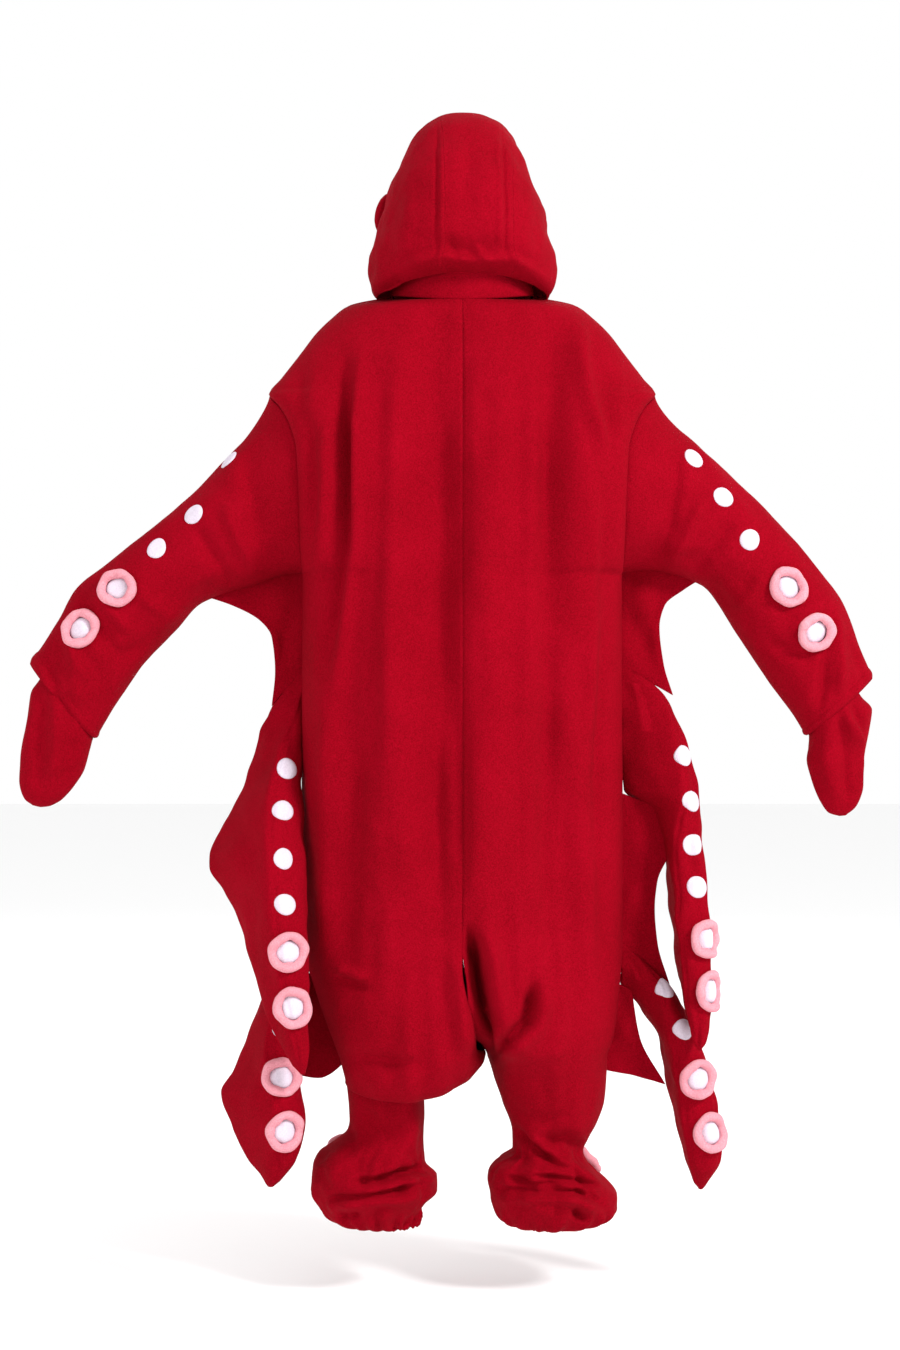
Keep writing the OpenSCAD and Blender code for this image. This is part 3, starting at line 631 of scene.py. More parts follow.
def buildSleeves():
    for name, side in sides.items():
        rows = arms[name]
        last = len(rows) - 1

        def place(u, v):
            s = v * last
            x, y, z, lift, n = armPoint(name, side, u, s, rows, armFolds[name])
            turn = 2 * math.pi * u
            middle = (body["armholeTop"] + body["armholeLow"]) / 2
            half = (body["armholeTop"] - body["armholeLow"]) / 2
            holeZ = middle + half * math.cos(turn)
            hole = (bodySide(holeZ), -body["armholeDepth"] * math.sin(turn), holeZ)
            near = 1 - step(0, 0.85, s)
            lift = lift * (1 - near) + seamDip(s * 62)
            end = seamDip((last - s) * 60, 4, 1.5)
            x, y, z = (mix(a, b, near) for a, b in zip((x, y, z), hole))
            tuck = step(0.16, 0, s)
            x, z = x - 9 * tuck, z - 3 * tuck * math.cos(turn)
            lift += end
            return side * (x + lift * n[0]), y + lift * n[1], z + lift * n[2]

        def inside(p):
            s = min(last, max(0, (abs(p.x) / mm - 240) / 350 * last))
            topX, topZ, lowX, lowZ, depth = armSection(rows, s)
            return Vector((side * (topX + lowX) / 2, 0, (topZ + lowZ) / 2)) * mm

        piece = gridPiece("sleeve" + cap(name), 110, 190, place, inside, body["cloth"] * mm, closed=True)
        finish(piece, redFleece)
        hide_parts(f"sleeve_{name}")
        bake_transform(piece)
        tipRows = tips[name]
        tipLast = len(tipRows) - 1

        def tipPlace(u, v):
            s = v * tipLast
            x, y, z, lift, n = armPoint(name, side, u, s, tipRows, tipFolds[name])
            lift = lift * 0.9 * step(0.3, 1.6, s) * step(tipLast, tipLast - 1.5, s)
            lift += seamDip(abs(math.cos(2 * math.pi * u) - 1) * 40, 4, 1.5) * step(tipLast,
                                                                                    tipLast - 0.5, s)
            return side * (x + lift * n[0]), y + lift * n[1], z + lift * n[2]

        tip = gridPiece("sleeveTip" + cap(name), 80, 90, tipPlace, inside, body["cloth"] * mm,
                        closed=True)
        finish(tip, redFleece)
        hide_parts(f"sleeve_tip_{name}")
        wrist = Vector(arms[name][-1][:4]) * mm
        down = Vector((side * (wrist[3] - wrist[1]), 0, wrist[0] - wrist[2])).normalized()
        down = -down if down.z > 0 else down
        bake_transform(tip)
        hem = gridPiece("wristHem" + cap(name), 110, 16, lambda u, v: hemPlace(name, side, u, v), inside,
                        2.4 * mm, closed=True)
        finish(hem, redFleece)
        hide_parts(f"wrist_hem_{name}")
        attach(hem, f"sleeve_{name}")


buildSleeves()
print("sleeves done")

# Tentacles
# Height, sucker edge (x, y, radius), ridge (x, y, radius)
upperArms = {
    "left": [(-540, 230, 0, 2, 234, 0, 2), (-575, 238, -6, 8, 262, 1, 5), (-600, 243, -12, 11, 279, 2, 6),
             (-664, 256, -38, 19, 295, 10, 8), (-730, 262, -64, 23, 316, 12, 9),
             (-775, 264, -80, 25, 337, 12, 9), (-812, 261, -92, 26, 357, 4, 7),
             (-830, 260, -97, 26, 353, -4, 8),
             (-863, 258, -106, 26, 331, -20, 9), (-907, 254, -116, 26, 308, -48, 9),
             (-974, 248, -127, 24, 290, -82, 8),
             (-1018, 243, -132, 21, 275, -100, 8), (-1070, 235, -134, 15, 255, -118, 7),
             (-1100, 230, -133, 9, 238, -126, 6), (-1116, 227, -132, 2, 229, -131, 2)],
    "right": [(-534, 234, 0, 2, 230, 0, 2), (-560, 276, -3, 7, 236, 1, 5), (-600, 300, -8, 11, 240, 4, 7),
              (-664, 318, -18, 15, 244, 8, 8), (-715, 325, -26, 17, 252, 16, 10),
              (-742, 328, -30, 17, 284, 26, 11),
              (-775, 328, -34, 18, 306, 38, 12), (-819, 330, -40, 18, 324, 48, 12),
              (-863, 332, -46, 18, 328, 46, 12),
              (-907, 335, -52, 18, 331, 36, 12), (-974, 340, -60, 17, 338, 16, 12),
              (-1018, 342, -66, 16, 341, -8, 11),
              (-1056, 344, -70, 13, 344, -40, 10), (-1078, 344, -70, 8, 344, -60, 7),
              (-1090, 344, -70, 2, 344, -68, 2)]}
lowerArms = {
    "left": [(-944, 230, 0, 2, 234, 0, 2), (-975, 240, -8, 9, 262, 2, 5),
             (-1000, 248, -18, 13, 278, 4, 6), (-1040, 261, -38, 18, 291, 6, 7),
             (-1084, 268, -56, 21, 305, 6, 8),
             (-1129, 264, -68, 23, 322, 4, 8), (-1160, 260, -75, 23, 339, 1, 7),
             (-1176, 258, -77, 23, 337, -4, 8),
             (-1210, 257, -78, 22, 323, -16, 8), (-1250, 262, -76, 18, 301, -38, 8),
             (-1276, 271, -72, 10, 285, -60, 6), (-1288, 277, -70, 2, 280, -67, 2)],
    "right": [(-942, 234, 0, 2, 230, 0, 2), (-968, 262, -3, 7, 238, 1, 5),
              (-1000, 288, -8, 14, 244, 6, 7), (-1040, 306, -14, 18, 276, 22, 9),
              (-1084, 324, -18, 20, 306, 34, 11), (-1129, 334, -20, 22, 320, 48, 12),
              (-1173, 344, -20, 23, 328, 54, 12),
              (-1217, 350, -20, 24, 338, 44, 12), (-1258, 354, -16, 21, 346, 24, 12),
              (-1288, 353, -8, 12, 350, 6, 9), (-1304, 352, -3, 2, 351, 0, 2)]}


def tentaclePoint(rows, side, u, s, seed):
    ex, ey, er, rx, ry, rr = smoothRows(rows, s)
    axis = math.atan2(ey - ry, ex - rx)
    turn = 2 * math.pi * (u - 0.25)
    c = math.cos(turn)
    share = step(-0.35, 0.35, c)
    cx, cy, r = mix(rx, ex, share), mix(ry, ey, share), mix(rr, er, share)
    chord = math.hypot(ex - rx, ey - ry)
    bulge = 0.11 * chord * (1 - abs(c) ** 1.5)
    r += bulge
    a = axis + turn
    creep = 1.5 * noise.noise(Vector((s / 30, seed, 0)))
    pucker = 2.0 * math.sin(-s / 8.5 + creep) * max(0, -c) ** 2 * step(2, 8, rr)
    fuzz = wavy(cx * 1.2 + 40 * math.cos(a), cy + 40 * math.sin(a), s, 38, 4.5, seed) * step(3, 9, er)
    r += pucker + fuzz
    seam = min(abs(turn - math.radians(58)), abs(turn + math.radians(58)))
    r += seamDip(seam * er, 3.2, 1.8) * step(6, 12, er)
    r += seamDip(abs(abs(turn) - math.pi) * 12, 3.5, 2.2) * step(2, 6, rr)
    return side * (cx + r * math.cos(a)), cy + r * math.sin(a), -s


def buildTentacles():
    for level, table in (("upper", upperArms), ("lower", lowerArms)):
        for name, side in sides.items():
            rows = [(-row[0], *row[1:]) for row in table[name]]
            top, bottom = rows[0][0], rows[-1][0]
            seed = 31 + 7 * side + (3 if level == "upper" else 0)

            def place(u, v):
                return tentaclePoint(rows, side, u, mix(top, bottom, v), seed)

            def inside(p):
                ex, ey, er, rx, ry, rr = smoothRows(rows, -p.z / mm)
                return Vector((side * (ex + rx) / 2, (ey + ry) / 2, p.z / mm)) * mm

            bm = bmesh.new()
            bmesh.ops.create_grid(bm, x_segments=96, y_segments=150, size=0.5)
            for v in bm.verts:
                v.co = Vector(place(v.co.x + 0.5, v.co.y + 0.5)) * mm
            bmesh.ops.remove_doubles(bm, verts=bm.verts, dist=1e-5)
            bmesh.ops.holes_fill(bm, edges=[e for e in bm.edges if e.is_boundary])
            piece = meshPiece(f"tentacle{level.capitalize()}{cap(name)}", bm, inside)
            finish(piece, redFleece)
            base = f"tentacle_{level}_{name}"
            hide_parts(base + "_front_panel", base + "_rear_panel", base + "_filling")
            -(top + 15) * mm
            -(top + 190) * mm
            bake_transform(piece)


buildTentacles()
print("tentacles done")

# Webs
webs = {  # four corners and the free edge between the outer two, as x and z
    "upper": {
        "left": {"inner": [(224, -386), (224, -553)], "top": [(224, -386), (300, -406), (379, -430)],
                 "free": [(379, -430), (338, -444), (298, -466), (281, -490), (276, -540), (281, -592)],
                 "low": [(224, -550), (258, -566), (281, -592)], "flat": (0.17, 0.2, 0.0135)},
        "right": {"inner": [(224, -386), (224, -541)], "top": [(224, -386), (298, -390), (351, -405)],
                  "free": [(351, -405), (326, -421), (299, -443), (291, -475), (297, -529), (311, -576)],
                  "low": [(224, -538), (270, -553), (311, -576)], "flat": (0.15, 0.19, 0.0135)}},
    "middle": {
        "left": {"inner": [(224, -745), (224, -955)], "top": [(224, -745), (262, -764)],
                 "free": [(262, -764), (266, -820), (262, -890), (266, -960)],
                 "low": [(224, -955), (266, -965)], "flat": (0.06, 0.24, 0.0085)},
        "right": {"inner": [(224, -716), (224, -966)], "top": [(224, -716), (280, -738), (326, -764)],
                  "free": [(326, -764), (305, -812), (288, -850), (284, -890), (288, -940), (306, -1002)],
                  "low": [(224, -966), (268, -980), (306, -1002)], "flat": (0.11, 0.26, 0.0145)}}}


# A point on a smooth line through points, at a share t of its length
def along(points, t):
    far, rows = 0, []
    for i, p in enumerate(points):
        if i:
            far += math.dist(p, points[i - 1])
        rows.append((far, *p))
    return smoothRows([(r[0], *r[1:]) for r in rows], t * far) if len(points) > 2 else [
        mix(points[0][0], points[1][0], t), mix(points[0][1], points[1][1], t)]


def webPoint(w, u, v, side, seed):
    inner, free = along(w["inner"], v), along(w["free"], v)
    top, low = along(w["top"], u), along(w["low"], u)
    x = mix(inner[0], free[0], u) + mix(top[0], low[0], v) - mix(
        mix(w["top"][0][0], w["top"][-1][0], u), mix(w["low"][0][0], w["low"][-1][0], u), v)
    z = mix(inner[1], free[1], u) + mix(top[1], low[1], v) - mix(
        mix(w["top"][0][1], w["top"][-1][1], u), mix(w["low"][0][1], w["low"][-1][1], u), v)
    y = wavy(x, seed, z, 50, 12,
             seed) * math.sin(math.pi * min(1, u * 1.15)) * math.sin(math.pi * v) ** 0.5
    return side * x, y, z


def buildWebs():
    for level, pair in webs.items():
        for name, side in sides.items():
            w = pair[name]

            def place(u, v):
                return webPoint(w, edgy(u, 0.5), edgy(v, 0.5), side, 41)

            piece = gridPiece(f"web{level.capitalize()}{cap(name)}", 40, 60, place,
                              lambda p: Vector((p.x, 1, p.z)), 5 * mm)
            piece.modifiers["thickness"].offset = 0
            rim = piece.modifiers.new("rim", "BEVEL")
            rim.width = 1.6 * mm
            rim.segments = 2
            finish(piece, redFleece)
            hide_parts(f"web_{level}_{name}")
            if level == "upper":
                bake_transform(piece)
            else:
                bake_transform(piece)


buildWebs()
print("webs done")

# Hood
hood = {
    "yaw": 5, "hinge": (0, -118, 44), "centre": 51, "faceHeight": 137, "faceHalf": (82, 96),
    "seamLeft": -38, "cloth": 2.6}
hoodRows = [  # height, half width, reach to the back, reach to the front
    (8, 127, 95, 96), (13, 131, 106, 98), (24, 135, 119, 100), (44, 137, 130, 101), (66, 136, 141, 104),
    (88, 131, 147, 106), (110, 125, 149, 108),
    (132, 120, 149, 110), (155, 113, 146, 112), (177, 104, 140, 110), (199, 94, 130, 106),
    (221, 84, 116, 96),
    (243, 72, 98, 82), (257, 61, 80, 66), (268, 47, 60, 50), (276, 30, 38, 32), (279, 3, 4, 4)]
hoodFolds = [  # on the back, as in backFolds
    ([(-38, 262), (-38, 150), (-38, 60)], 3.2, -3.4), ([(58, 262), (65, 160), (64, 60)], 3.2, -3.4),
    ([(-30, 262), (-30, 60)], 5, 2.2), ([(50, 262), (56, 160), (54, 62)], 5, 2.2),
    ([(-96, 48), (-50, 64), (-20, 70), (20, 62), (70, 66), (112, 44)], 11, 11),
    ([(-24, 50), (-4, 42), (20, 42), (58, 50)], 5, -13), ([(-34, 62), (-26, 44)], 6, 8),
    ([(-120, 22), (-94, 38)], 6, -12), ([(66, 36), (98, 20)], 6, -12),
    ([(-40, 96), (0, 84), (60, 92)], 14, -6),
    ([(-96, 176), (-112, 110), (-120, 60)], 13, -5), ([(96, 200), (112, 130), (124, 60)], 14, -5),
    ([(-78, 210), (-84, 120)], 12, 4), ([(10, 250), (6, 110)], 15, -3), ([(20, 90), (34, 56)], 8, 6),
    ([(-18, 100), (-8, 60)], 8, -5)]


# A point of the hood: 0 is the middle of the back, and v runs up from its lower edge to its crown
def hoodPoint(turnDeg, v):
    turn = math.radians(turnDeg)
    keyed = [(i, *row) for i, row in enumerate(hoodRows)]
    z, w, back, front = smoothRows(keyed, v * (len(hoodRows) - 1))
    c, sn = math.cos(turn), math.sin(turn)
    d = back if c > 0 else front
    x = w * soft(sn, 0.85)
    y = -soft(c, 0.85) * d
    z += 25 * max(c, 0) ** 2 * step(90, 4, z)
    lift = 0
    if c > 0:
        turnedX, turnedY, turnedZ = turned(x, y, z)
        lift = sum(ridge(*fold, *seen(turnedX, turnedY, turnedZ)) for fold in hoodFolds) * c ** 0.5
    lift += wavy(x, y, z, 40, 4, 51) + wavy(x, y, z, 17, 1.2, 5)
    lift *= step(279, 262, z)
    scale = 1 + lift / max(60, math.hypot(x, y))
    scale *= math.sqrt(min(1, (1 - v) / 0.02))  # the three panels meet at the crown
    return x * scale, y * scale, z


def turned(x, y, z):
    a = math.radians(hood["yaw"])
    return x * math.cos(a) - y * math.sin(a), x * math.sin(a) + y * math.cos(a), z


# How far round the hood's cloth reaches at a height, as the face opening cuts it
def faceEdge(v, low, high):
    z = low + (high - low) * v
    t = (z - hood["faceHeight"]) / hood["faceHalf"][1]
    if abs(t) >= 1:
        return 180
    half = hood["faceHalf"][0] * math.sqrt(1 - t * t)
    w = 118
    return 180 - math.degrees(math.asin(min(0.98, half / w)))


def buildHood():
    seams = {"Left": (-1, -38), "Right": (1, 62)}
    rowsAt = [row[0] for row in hoodRows]
    count = len(hoodRows) - 1

    def seamTurn(sideSign, v):
        z, w, back, front = smoothRows([(i, *row) for i, row in enumerate(hoodRows)], v * count)
        x = abs(seams["Left" if sideSign < 0 else "Right"][1]) * step(281, 262, z) ** 0.5
        return math.degrees(math.asin(min(0.9, x / max(w, 1)) ** (1 / 0.85)))

    def reachOf(v):
        z = smoothRows([(i, row[0]) for i, row in enumerate(hoodRows)], v * count)[0]
        return faceEdge((z - 2) / 277, 2, 279)

    inside = lambda p: Vector((0, 0, min(0.2, max(0.02, p.z))))
    for name, (sign, seamX) in seams.items():
        def place(u, v):
            turn = mix(seamTurn(sign, v), reachOf(v), edgy(u, 0.3))
            x, y, z = hoodPoint(sign * turn, v)
            return turned(x, y, z)

        piece = gridPiece("hoodPanel" + name, 110, 130, place, inside, hood["cloth"] * mm)
        finish(piece, redFleece)
        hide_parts(f"hood_{name.lower()}_panel", "hood_centre_panel")
        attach(piece, "hood")

    def centrePlace(u, v):
        turn = mix(-seamTurn(-1, v), seamTurn(1, v), u)
        x, y, z = hoodPoint(turn, v)
        return turned(x, y, z)

    piece = gridPiece("hoodPanelCentre", 60, 130, centrePlace, inside, hood["cloth"] * mm)
    finish(piece, redFleece)
    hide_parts("hood_centre_panel")
    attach(piece, "hood")


buildHood()
print("hood done")


# Neckband, face hem and eyes
def buildNeckband():
    def place(u, v):
        turn = 2 * math.pi * u
        c, sn = math.cos(turn), math.sin(turn)
        low, high = 12 - 17 * abs(c) ** 1.5, 42 - (0 if c > 0 else 3) * abs(c) ** 1.5
        puff = 2.2 * math.sin(math.pi * v) ** 0.7 + wavy(100 * sn, 100 * c, v * 30, 30, 1.5, 61)
        z = mix(low, high, v)
        flare = 9 * v ** 6 * math.sqrt(max(c, 0))  # the top meets the hood at the nape
        grow = mix(5, -1, v) + puff + flare
        return (100 + grow) * sn, -(92 + grow) * c, z

    band = gridPiece("neckbandCloth", 160, 16, place, lambda p: Vector((0, 0, p.z)), 4 * mm, closed=True)
    finish(band, redFleece)
    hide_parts("neckband")
    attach(band, "torso")


# A point by the rim of the face opening, on the hood's front
def faceEdgePoint(turn, grow, lift):
    x = (hood["faceHalf"][0] + grow) * math.cos(turn)
    z = hood["faceHeight"] + (hood["faceHalf"][1] + grow) * math.sin(turn)
    keyed = [(row[0], *row[1:]) for row in hoodRows]
    w, back, front = smoothRows(keyed, z)
    c = max(0, 1 - min(1, abs(x) / w) ** (2 / 0.85))
    y = front * c ** (0.85 / 2)
    return turned(x, y + lift, z)


def buildFaceHem():
    def place(u, v):
        turn = 2 * math.pi * u
        roll = 2 * math.pi * v
        grow = -3 + 9 * math.cos(roll) * (1 + 0.05 * math.sin(turn * 40))
        return faceEdgePoint(turn, grow, 3.2 * math.sin(roll) - 1)

    bm = bmesh.new()
    movedGrid(bm, 240, 14, lambda u, v: Vector(place(u, v)) * mm)
    hem = meshPiece("faceHemRoll", bm)
    finish(hem, redFleece)
    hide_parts("face_hem")
    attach(hem, "hood")


eye = {"turn": 112, "v": 7.35, "mound": 32, "moundHigh": 15, "white": 18, "whiteHigh": 1.8,
       "shift": 13, "pupil": 9, "pupilHigh": 1.4}


# A round padded dome that stands on the hood's side
def domePiece(name, at, outward, size, high, shift, material, nodes, base=lambda r: 0):
    local = frameAt(at, outward)
    bm = bmesh.new()

    def place(u, v):
        a = 2 * math.pi * u
        t = v * 1.25
        radius = size * (t if t <= 1 else 1 - 0.6 * (t - 1))
        rise = high * math.sqrt(max(0, 1 - t * t)) if t <= 1 else -30 * (t - 1)
        if t > 1.2:
            radius *= (1.25 - t) / 0.05
        puff = 1 + 0.03 * noise.noise(Vector((3 * math.cos(a), 3 * math.sin(a), t * 3)))
        x, y = radius * puff * math.cos(a) + shift, radius * puff * math.sin(a)
        return local(x * mm, y * mm, (rise + base(math.hypot(x, y))) * mm)

    movedGrid(bm, 72, 25, place)
    piece = meshPiece(name, bm)
    finish(piece, material)
    if nodes:
        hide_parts(nodes)
    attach(piece, "hood")
    return piece


def buildEyes():
    for name, side in sides.items():
        at = Vector(turned(*hoodPoint(side * eye["turn"], eye["v"] / (len(hoodRows) - 1)))) * mm
        beside = Vector(turned(*hoodPoint(side * (eye["turn"] + 6), eye["v"] / (len(hoodRows) - 1)))) * mm
        above = Vector(turned(*hoodPoint(side * eye["turn"],
                                         (eye["v"] + 0.6) / (len(hoodRows) - 1)))) * mm
        outward = (beside - at).cross(above - at).normalized()
        if outward.x * side < 0:
            outward = -outward
        at = at - outward * 2 * mm
        mound = domePiece("eyeMound" + cap(name), at, outward, eye["mound"], eye["moundHigh"], 0,
                          redFleece, None)

        def onMound(r):  # the felt lies on the mound, towards the face
            return eye["moundHigh"] * math.sqrt(max(0, 1 - (r / eye["mound"]) ** 2)) + 0.3

        shift = side * eye["shift"]
        domePiece("eyeWhite" + cap(name), at, outward, eye["white"], eye["whiteHigh"], shift, whiteFleece,
                  "eye_whites", onMound)
        domePiece("eyePupil" + cap(name), at, outward, eye["pupil"], eye["pupilHigh"], shift, blackFleece,
                  "eye_pupils", lambda r: onMound(r) + eye["whiteHigh"] * 0.9)


buildNeckband()
buildFaceHem()
buildEyes()
print("neckband and eyes done")

# Ankles
ankles = {"left": (106, -1338), "right": (128, -1340)}
ankle = {"bore": 38, "height": 26}


def buildAnkles():
    for name, side in sides.items():
        centre, top = ankles[name]

        def place(u, v):
            turn = 2 * math.pi * u
            roll = 2 * math.pi * v
            gathers = math.sin(turn * 26 + 1.2 * math.sin(turn * 3 + side))
            half = ankle["height"] / 2
            thick = 3.8 + 1.5 * gathers + 1.0 * math.sin(turn * 7 + side * 2)
            z = top + 8 - half + (half + 4 * gathers * 0.4) * math.sin(roll)
            r = ankle["bore"] + 4.6 + thick * math.cos(roll) + 0.7 * gathers * math.sin(roll * 2)
            return side * centre + r * math.cos(turn), r * math.sin(turn), z

        bm = bmesh.new()
        bmesh.ops.create_grid(bm, x_segments=300, y_segments=28, size=0.5)
        for v in bm.verts:
            v.co = Vector(place(v.co.x + 0.5, v.co.y + 0.5)) * mm
        bmesh.ops.remove_doubles(bm, verts=bm.verts, dist=1e-5)
        cuff = meshPiece("ankleCuff" + cap(name), bm)
        finish(cuff, redFleece)
        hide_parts(f"ankle_cuff_{name}", f"ankle_elastic_{name}")
        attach(cuff, f"leg_{name}")


buildAnkles()
print("ankles done")

# Lower webs
lowWebs = {"left": {"inner": [(212, -985), (192, -1050), (166, -1112)], "top": [(212, -985), (244, -990)],
                    "free": [(244, -990), (248, -1080), (262, -1132)],
                    "low": [(166, -1112), (210, -1140), (262, -1132)],
                    "flat": (0.1, 0.16, 0.0095)},
           "right": {"inner": [(222, -1000), (216, -1060), (208, -1128)],
                     "top": [(222, -1000), (250, -1010)],
                     "free": [(250, -1010), (262, -1080), (300, -1150)],
                     "low": [(208, -1128), (250, -1136), (300, -1150)],
                     "flat": (0.1, 0.16, 0.009)}}


def buildLowWebs():
    for name, side in sides.items():
        w = lowWebs[name]

        def place(u, v):
            return webPoint(w, edgy(u, 0.5), edgy(v, 0.5), side, 47)

        piece = gridPiece("webLower" + cap(name), 30, 40, place, lambda p: Vector((p.x, 1, p.z)), 5 * mm)
        piece.modifiers["thickness"].offset = 0
        rim = piece.modifiers.new("rim", "BEVEL")
        rim.width = 1.6 * mm
        rim.segments = 2
        finish(piece, redFleece)
        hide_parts(f"web_lower_{name}")
        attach(piece, "torso")


buildLowWebs()
print("lower webs done")

# Suckers
sucker = {"disc": 15.5, "discDome": 2.4, "ring": 29.5, "roll": 6.9, "core": 17.5, "drop": 9}
armMarks = {"left": [(1.12, 24, 0), (1.85, 56, 0), (2.75, 58, 0), (3.77, 67, 1), (5.25, 67, 1)],
            "right": [(1.1, 43, 0), (1.75, 60, 0), (2.5, 75, 0), (3.5, 75, 1), (4.6, 80, 1)]}
upperMarks = {"left": [(-682, -100, 0), (-741, -100, 0), (-809, -100, 0), (-873, -99, 0), (-940, -98, 1),
                       (-1018, -96, 1)],
              "right": [(-664, -66, 0), (-730, -62, 0), (-793, -64, 0), (-854, -60, 0), (-929, -34, 1),
                        (-1004, -26, 1)]}
lowerMarks = {"left": [(-1058, -100, 0), (-1126, -98, 1), (-1202, -96, 1)],
              "right": [(-1004, -58, 0), (-1064, -66, 0), (-1136, -66, 1), (-1214, -56, 1)]}
legMarks = {"left": [(-1180, 60, 1), (-1262, 52, 1)], "right": [(-1180, 48, 1), (-1268, 30, 1)]}


# All the faces of some cloth pieces, to lay the suckers on
def clothTree(pieces):
    points, faces = [], []
    for piece in pieces:
        base = len(points)
        points += [v.co.copy() for v in piece.data.vertices]
        faces += [[base + i for i in f.vertices] for f in piece.data.polygons]
    return BVHTree.FromPolygons(points, faces)


# Moves a point straight onto the cloth along the sucker's axis
def layOn(tree, outward, point):
    hit = tree.ray_cast(point + outward * 0.03, -outward, 0.06)[0]
    return hit if hit else point - outward * sucker["drop"] * mm


# White discs and the pink rings with white centres for one limb
def buildSuckers(name, body, nodes, places, tree):
    white, pink = bmesh.new(), bmesh.new()
    for n, (centre, outward, ringed) in enumerate(places):
        hit = tree.ray_cast(centre + outward * 0.04, -outward, 0.12)
        if hit[0]:
            centre = hit[0]
            smooth = sum((tree.ray_cast(centre + outward * 0.04 + Vector(d) * 0.012, -outward,
                                        0.12)[1] or outward
                          for d in ((1, 0, 0), (-1, 0, 0), (0, 1, 0), (0, -1, 0), (0, 0, 1), (0, 0, -1))),
                          Vector())
            if smooth.dot(outward) > 0.5:
                outward = (outward * 0.6 + smooth.normalized() * 0.8).normalized()
        local = frameAt(centre, outward)
        seed = n * 3.7 + len(name)
        size = sucker["core"] if ringed else sucker["disc"]
        rise = sucker["roll"] * 0.35 if ringed else 0

        def discPoint(u, v):
            a = 2 * math.pi * u
            radius = size * v * (1 + 0.035 * math.sin(2 * a + seed) + 0.02 * math.sin(3 * a + 2 * seed))
            dome = (sucker["discDome"] + rise) * (1 - v ** 5) + 0.25
            p = local(radius * math.cos(a) * mm, radius * math.sin(a) * mm, 0)
            return layOn(tree, outward, p) + outward * dome * mm

        movedGrid(white, 56, 14, discPoint)
        if not ringed:
            continue
        around = 96
        wide = sucker["ring"] - sucker["roll"]
        depths = []
        for j in range(around):
            a = 2 * math.pi * j / around
            flat = local(wide * math.cos(a) * mm, wide * math.sin(a) * mm, 0)
            depths.append(max(-sucker["drop"] * mm,
                              min(0.003, (layOn(tree, outward, flat) - flat).dot(outward))))
        for _ in range(10):
            depths = [(depths[j - 1] + depths[j] + depths[(j + 1) % around]) / 3 for j in range(around)]

        def ringPoint(u, v):
            a, b = 2 * math.pi * u, 2 * math.pi * v
            reach = wide * (1 + 0.05 * math.sin(2 * a + seed) + 0.02 * math.sin(5 * a + seed))
            roll = sucker["roll"] * (1 + 0.08 * math.sin(3 * a + seed) + 0.05 * math.sin(7 * a + 2 * seed))
            crease = 0.9 + 0.1 * min(1, abs(((b / math.pi + 0.25) % 2) - 1) * 3)
            r = roll * crease * (1 + 0.05 * noise.noise(Vector((seed + 6 * math.cos(a), 6 * math.sin(a),
                                                                2 * math.sin(b)))))
            base = local(reach * math.cos(a) * mm, reach * math.sin(a) * mm,
                         0) + outward * depths[round(u * around) % around]
            across = local(math.cos(a), math.sin(a), 0) - centre
            up = roll * 0.78 + r * math.sin(b) * 0.95
            return base + across * (r * math.cos(b) * mm * 0.98) + outward * (up * mm)

        movedGrid(pink, around, 26, ringPoint)
    whitePiece = meshPiece("whiteDiscs" + name, white, None, 1.2 * mm)
    turnOut(whitePiece, places)
    finish(whitePiece, whiteFleece)
    if nodes[0]:
        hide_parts(nodes[0])
    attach(whitePiece, body)
    if len(pink.verts):
        pinkPiece = meshPiece("pinkRings" + name, pink)
        finish(pinkPiece, pinkFleece)
        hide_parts(nodes[1])
        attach(pinkPiece, body)
    else:
        pink.free()


# Faces of the discs are turned away from the cloth
def turnOut(piece, places):
    mesh = piece.data
    for poly in mesh.polygons:
        nearest = min(places, key=lambda q: (q[0] - poly.center).length)
        if poly.normal.dot(nearest[1]) < 0:
            poly.flip()
    mesh.update()


def sectionAt(rows, z):
    return smoothRows([(-row[0], *row[1:]) for row in rows], -z)


def armPlaces(name, side):
    out = []
    for s, turn, ringed in armMarks[name]:
        x, y, z, lift, n = armPoint(name, side, turn / 360, s, arms[name])
        topX, topZ, lowX, lowZ, depth = armSection(arms[name], s)
        half = math.hypot(topX - lowX, topZ - lowZ) / 2
        a = math.radians(turn)
        n = Vector((math.cos(a) / half * side * (topX - lowX) / 2 / half, -math.sin(a) / depth,
                    math.cos(a) / half * (topZ - lowZ) / 2 / half)).normalized()
        out.append((Vector((side * x, y, z)) * mm, n, ringed))
    return out


def tentaclePlaces(rows, marks, side):
    out = []
    for z, facing, ringed in marks:
        ex, ey, er, rx, ry, rr = sectionAt(rows, z)
        a = math.radians(facing)
        n = Vector((side * math.cos(a), math.sin(a), 0))
        out.append((Vector((side * (ex + er * math.cos(a)), ey + er * math.sin(a), z)) * mm, n, ringed))
    return out


def legPlaces(name, side):
    rows = [row for row in lowerBody[name] if row[0] < -1140]
    out = []
    for z, facing, ringed in legMarks[name]:
        zMid, outer, centre, inner, back, front, start, square = smoothRows([(-row[0],
                                                                              *row[1:]) for row in rows],
                                                                              -z)
        a = math.radians(facing)
        reach = outer - centre
        n = Vector((side * math.cos(a), math.sin(a), 0))
        out.append((Vector((side * (centre + reach * math.cos(a)), front * math.sin(a), z)) * mm, n,
                    ringed))
    return out


def piecesOf(*names):
    return clothTree([bpy.data.objects[n] for n in names])


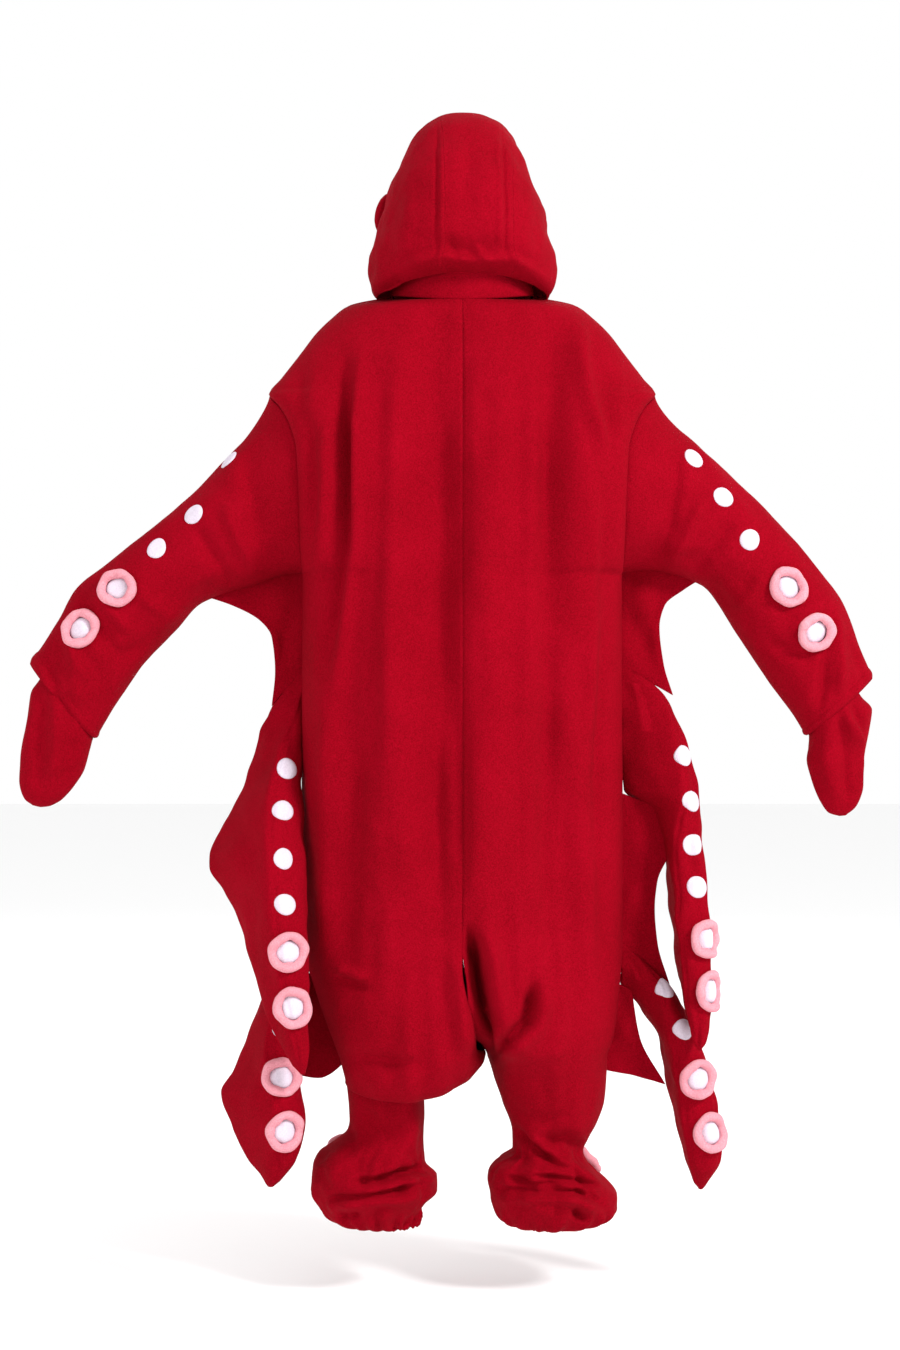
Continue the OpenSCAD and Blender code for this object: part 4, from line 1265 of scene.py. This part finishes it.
for name, side in sides.items():
    end = cap(name)
    buildSuckers("Sleeve" + end, f"sleeve_{name}",
                 (f"white_discs_sleeve_{name}", f"pink_rings_sleeve_{name}"),
                 armPlaces(name, side), piecesOf("sleeve" + end))
    for level, table, marks in (("upper", upperArms, upperMarks), ("lower", lowerArms, lowerMarks)):
        base = f"tentacle_{level}_{name}"
        buildSuckers(f"Tentacle{cap(level)}{end}", base, ("white_discs_" + base, "pink_rings_" + base),
                     tentaclePlaces(table[name], marks[name], side),
                     piecesOf(f"tentacle{cap(level)}{end}"))
    buildSuckers("Leg" + end, f"leg_{name}", (None, f"pink_rings_leg_{name}"), legPlaces(name, side),
                 piecesOf("backPanel" + end, "frontPanel" + end))
print("suckers done")


# Pieces that keep their own shape
def paint(material, *nodes):
    for node in nodes:
        piece = bpy.data.objects.get(node)
        if piece:
            piece.data.materials.clear()
            piece.data.materials.append(material)


# Front opening: a strip of doubled fleece on the outside, one inside, and five buttons
placket = {"width": 36, "top": -6, "length": 674, "cloth": 2.4, "inset": 6.5, "buttons": 5, "first": -60,
           "button": 10, "buttonHigh": 3.6}


def buildPlackets():
    tree = piecesOf("frontPanelLeft", "frontPanelRight")

    def front(x, z, lift):
        spots = [tree.ray_cast(Vector((x + d, 400, z)) * mm, Vector((0, -1, 0)))[0] for d in (-9, -5, 5,
                                                                                              9)]
        depth = sum((p.y for p in spots if p), 0) / max(1, len([p for p in spots if p])) / mm
        return Vector((x, depth + lift, z))

    for part, outer, node in (("buttonhole", 1, "buttonhole_placket"), ("button", 0, "button_placket")):
        def place(u, v):
            x = (u - 0.5) * placket["width"]
            z = placket["top"] - v * placket["length"]
            rim = min(placket["width"] / 2 - abs(x), 4, v * placket["length"] + 0.5,
                      (1 - v) * placket["length"] + 0.5)
            fromStitch = (placket["width"] / 2 - abs(x) - 4.5) / 1.1
            stitch = math.exp(-fromStitch ** 2) * (0.7 + 0.3 * math.sin(z * 2.2))
            puff = 1.1 * math.sqrt(rim / 4) - 0.7 * stitch + 0.5 * noise.noise(Vector((x / 12, z / 22,
                                                                                       outer)))
            return front(x, z, placket["cloth"] + 0.5 + puff if outer else -placket["inset"])

        piece = gridPiece(part + "Placket", 36, 340, place, lambda p: Vector((p.x, 0, p.z)),
                          placket["cloth"] * mm)
        finish(piece, redFleece)
        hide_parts(node)
        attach(piece, "torso")
    bm = bmesh.new()
    for i in range(placket["buttons"]):
        z = placket["first"] - i * (placket["length"] + 6 - 110) / (placket["buttons"] - 1)
        above, below = front(0, z + 10, 0), front(0, z - 10, 0)
        outward = Vector((0, 20, below.y - above.y)).normalized()
        high = placket["buttonHigh"]
        at = (front(0, z, placket["cloth"] + 1.8) + outward * high / 2) * mm
        turn = outward.to_track_quat("Z", "Y").to_matrix().to_4x4()
        made = bmesh.ops.create_cone(bm, cap_ends=True, segments=48, radius1=placket["button"] * mm,
                                     radius2=placket["button"] * mm, depth=high * mm,
                                     matrix=Matrix.Translation(at) @ turn)
        caps = [f for f in bm.faces if len(f.verts) > 8 and (f.calc_center_median() - at).dot(outward) > 0
                and (f.calc_center_median() - at).length < 0.005]
        rims = list(dict.fromkeys(e for v in made["verts"] for e in v.link_edges))
        edges = [e for e in rims if any(len(f.verts) > 8 for f in e.link_faces)]
        bmesh.ops.inset_region(bm, faces=caps, thickness=2.2 * mm, depth=0)
        bmesh.ops.inset_region(bm, faces=caps, thickness=0.7 * mm, depth=-0.9 * mm)
        bmesh.ops.bevel(bm, geom=[e for e in edges if e.is_valid], offset=0.9 * mm, segments=3,
                        affect="EDGES", profile=0.5, material=-1)
        for tilt in (45, 135):
            spin = Matrix.Rotation(math.radians(tilt), 4, "Z") @ Matrix.Rotation(math.radians(90), 4, "X")
            bmesh.ops.create_cone(bm, cap_ends=True, segments=12, radius1=0.7 * mm, radius2=0.7 * mm,
                                  depth=5.6 * mm,
                                  matrix=Matrix.Translation(at + outward * (high / 2 - 0.6) * mm) @ turn @ spin)
    piece = meshPiece("frontButtons", bm, smooth=False)
    finish(piece, plastic)
    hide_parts("buttons")
    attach(piece, "torso")


buildPlackets()

paint(tape, "hanger_loop")
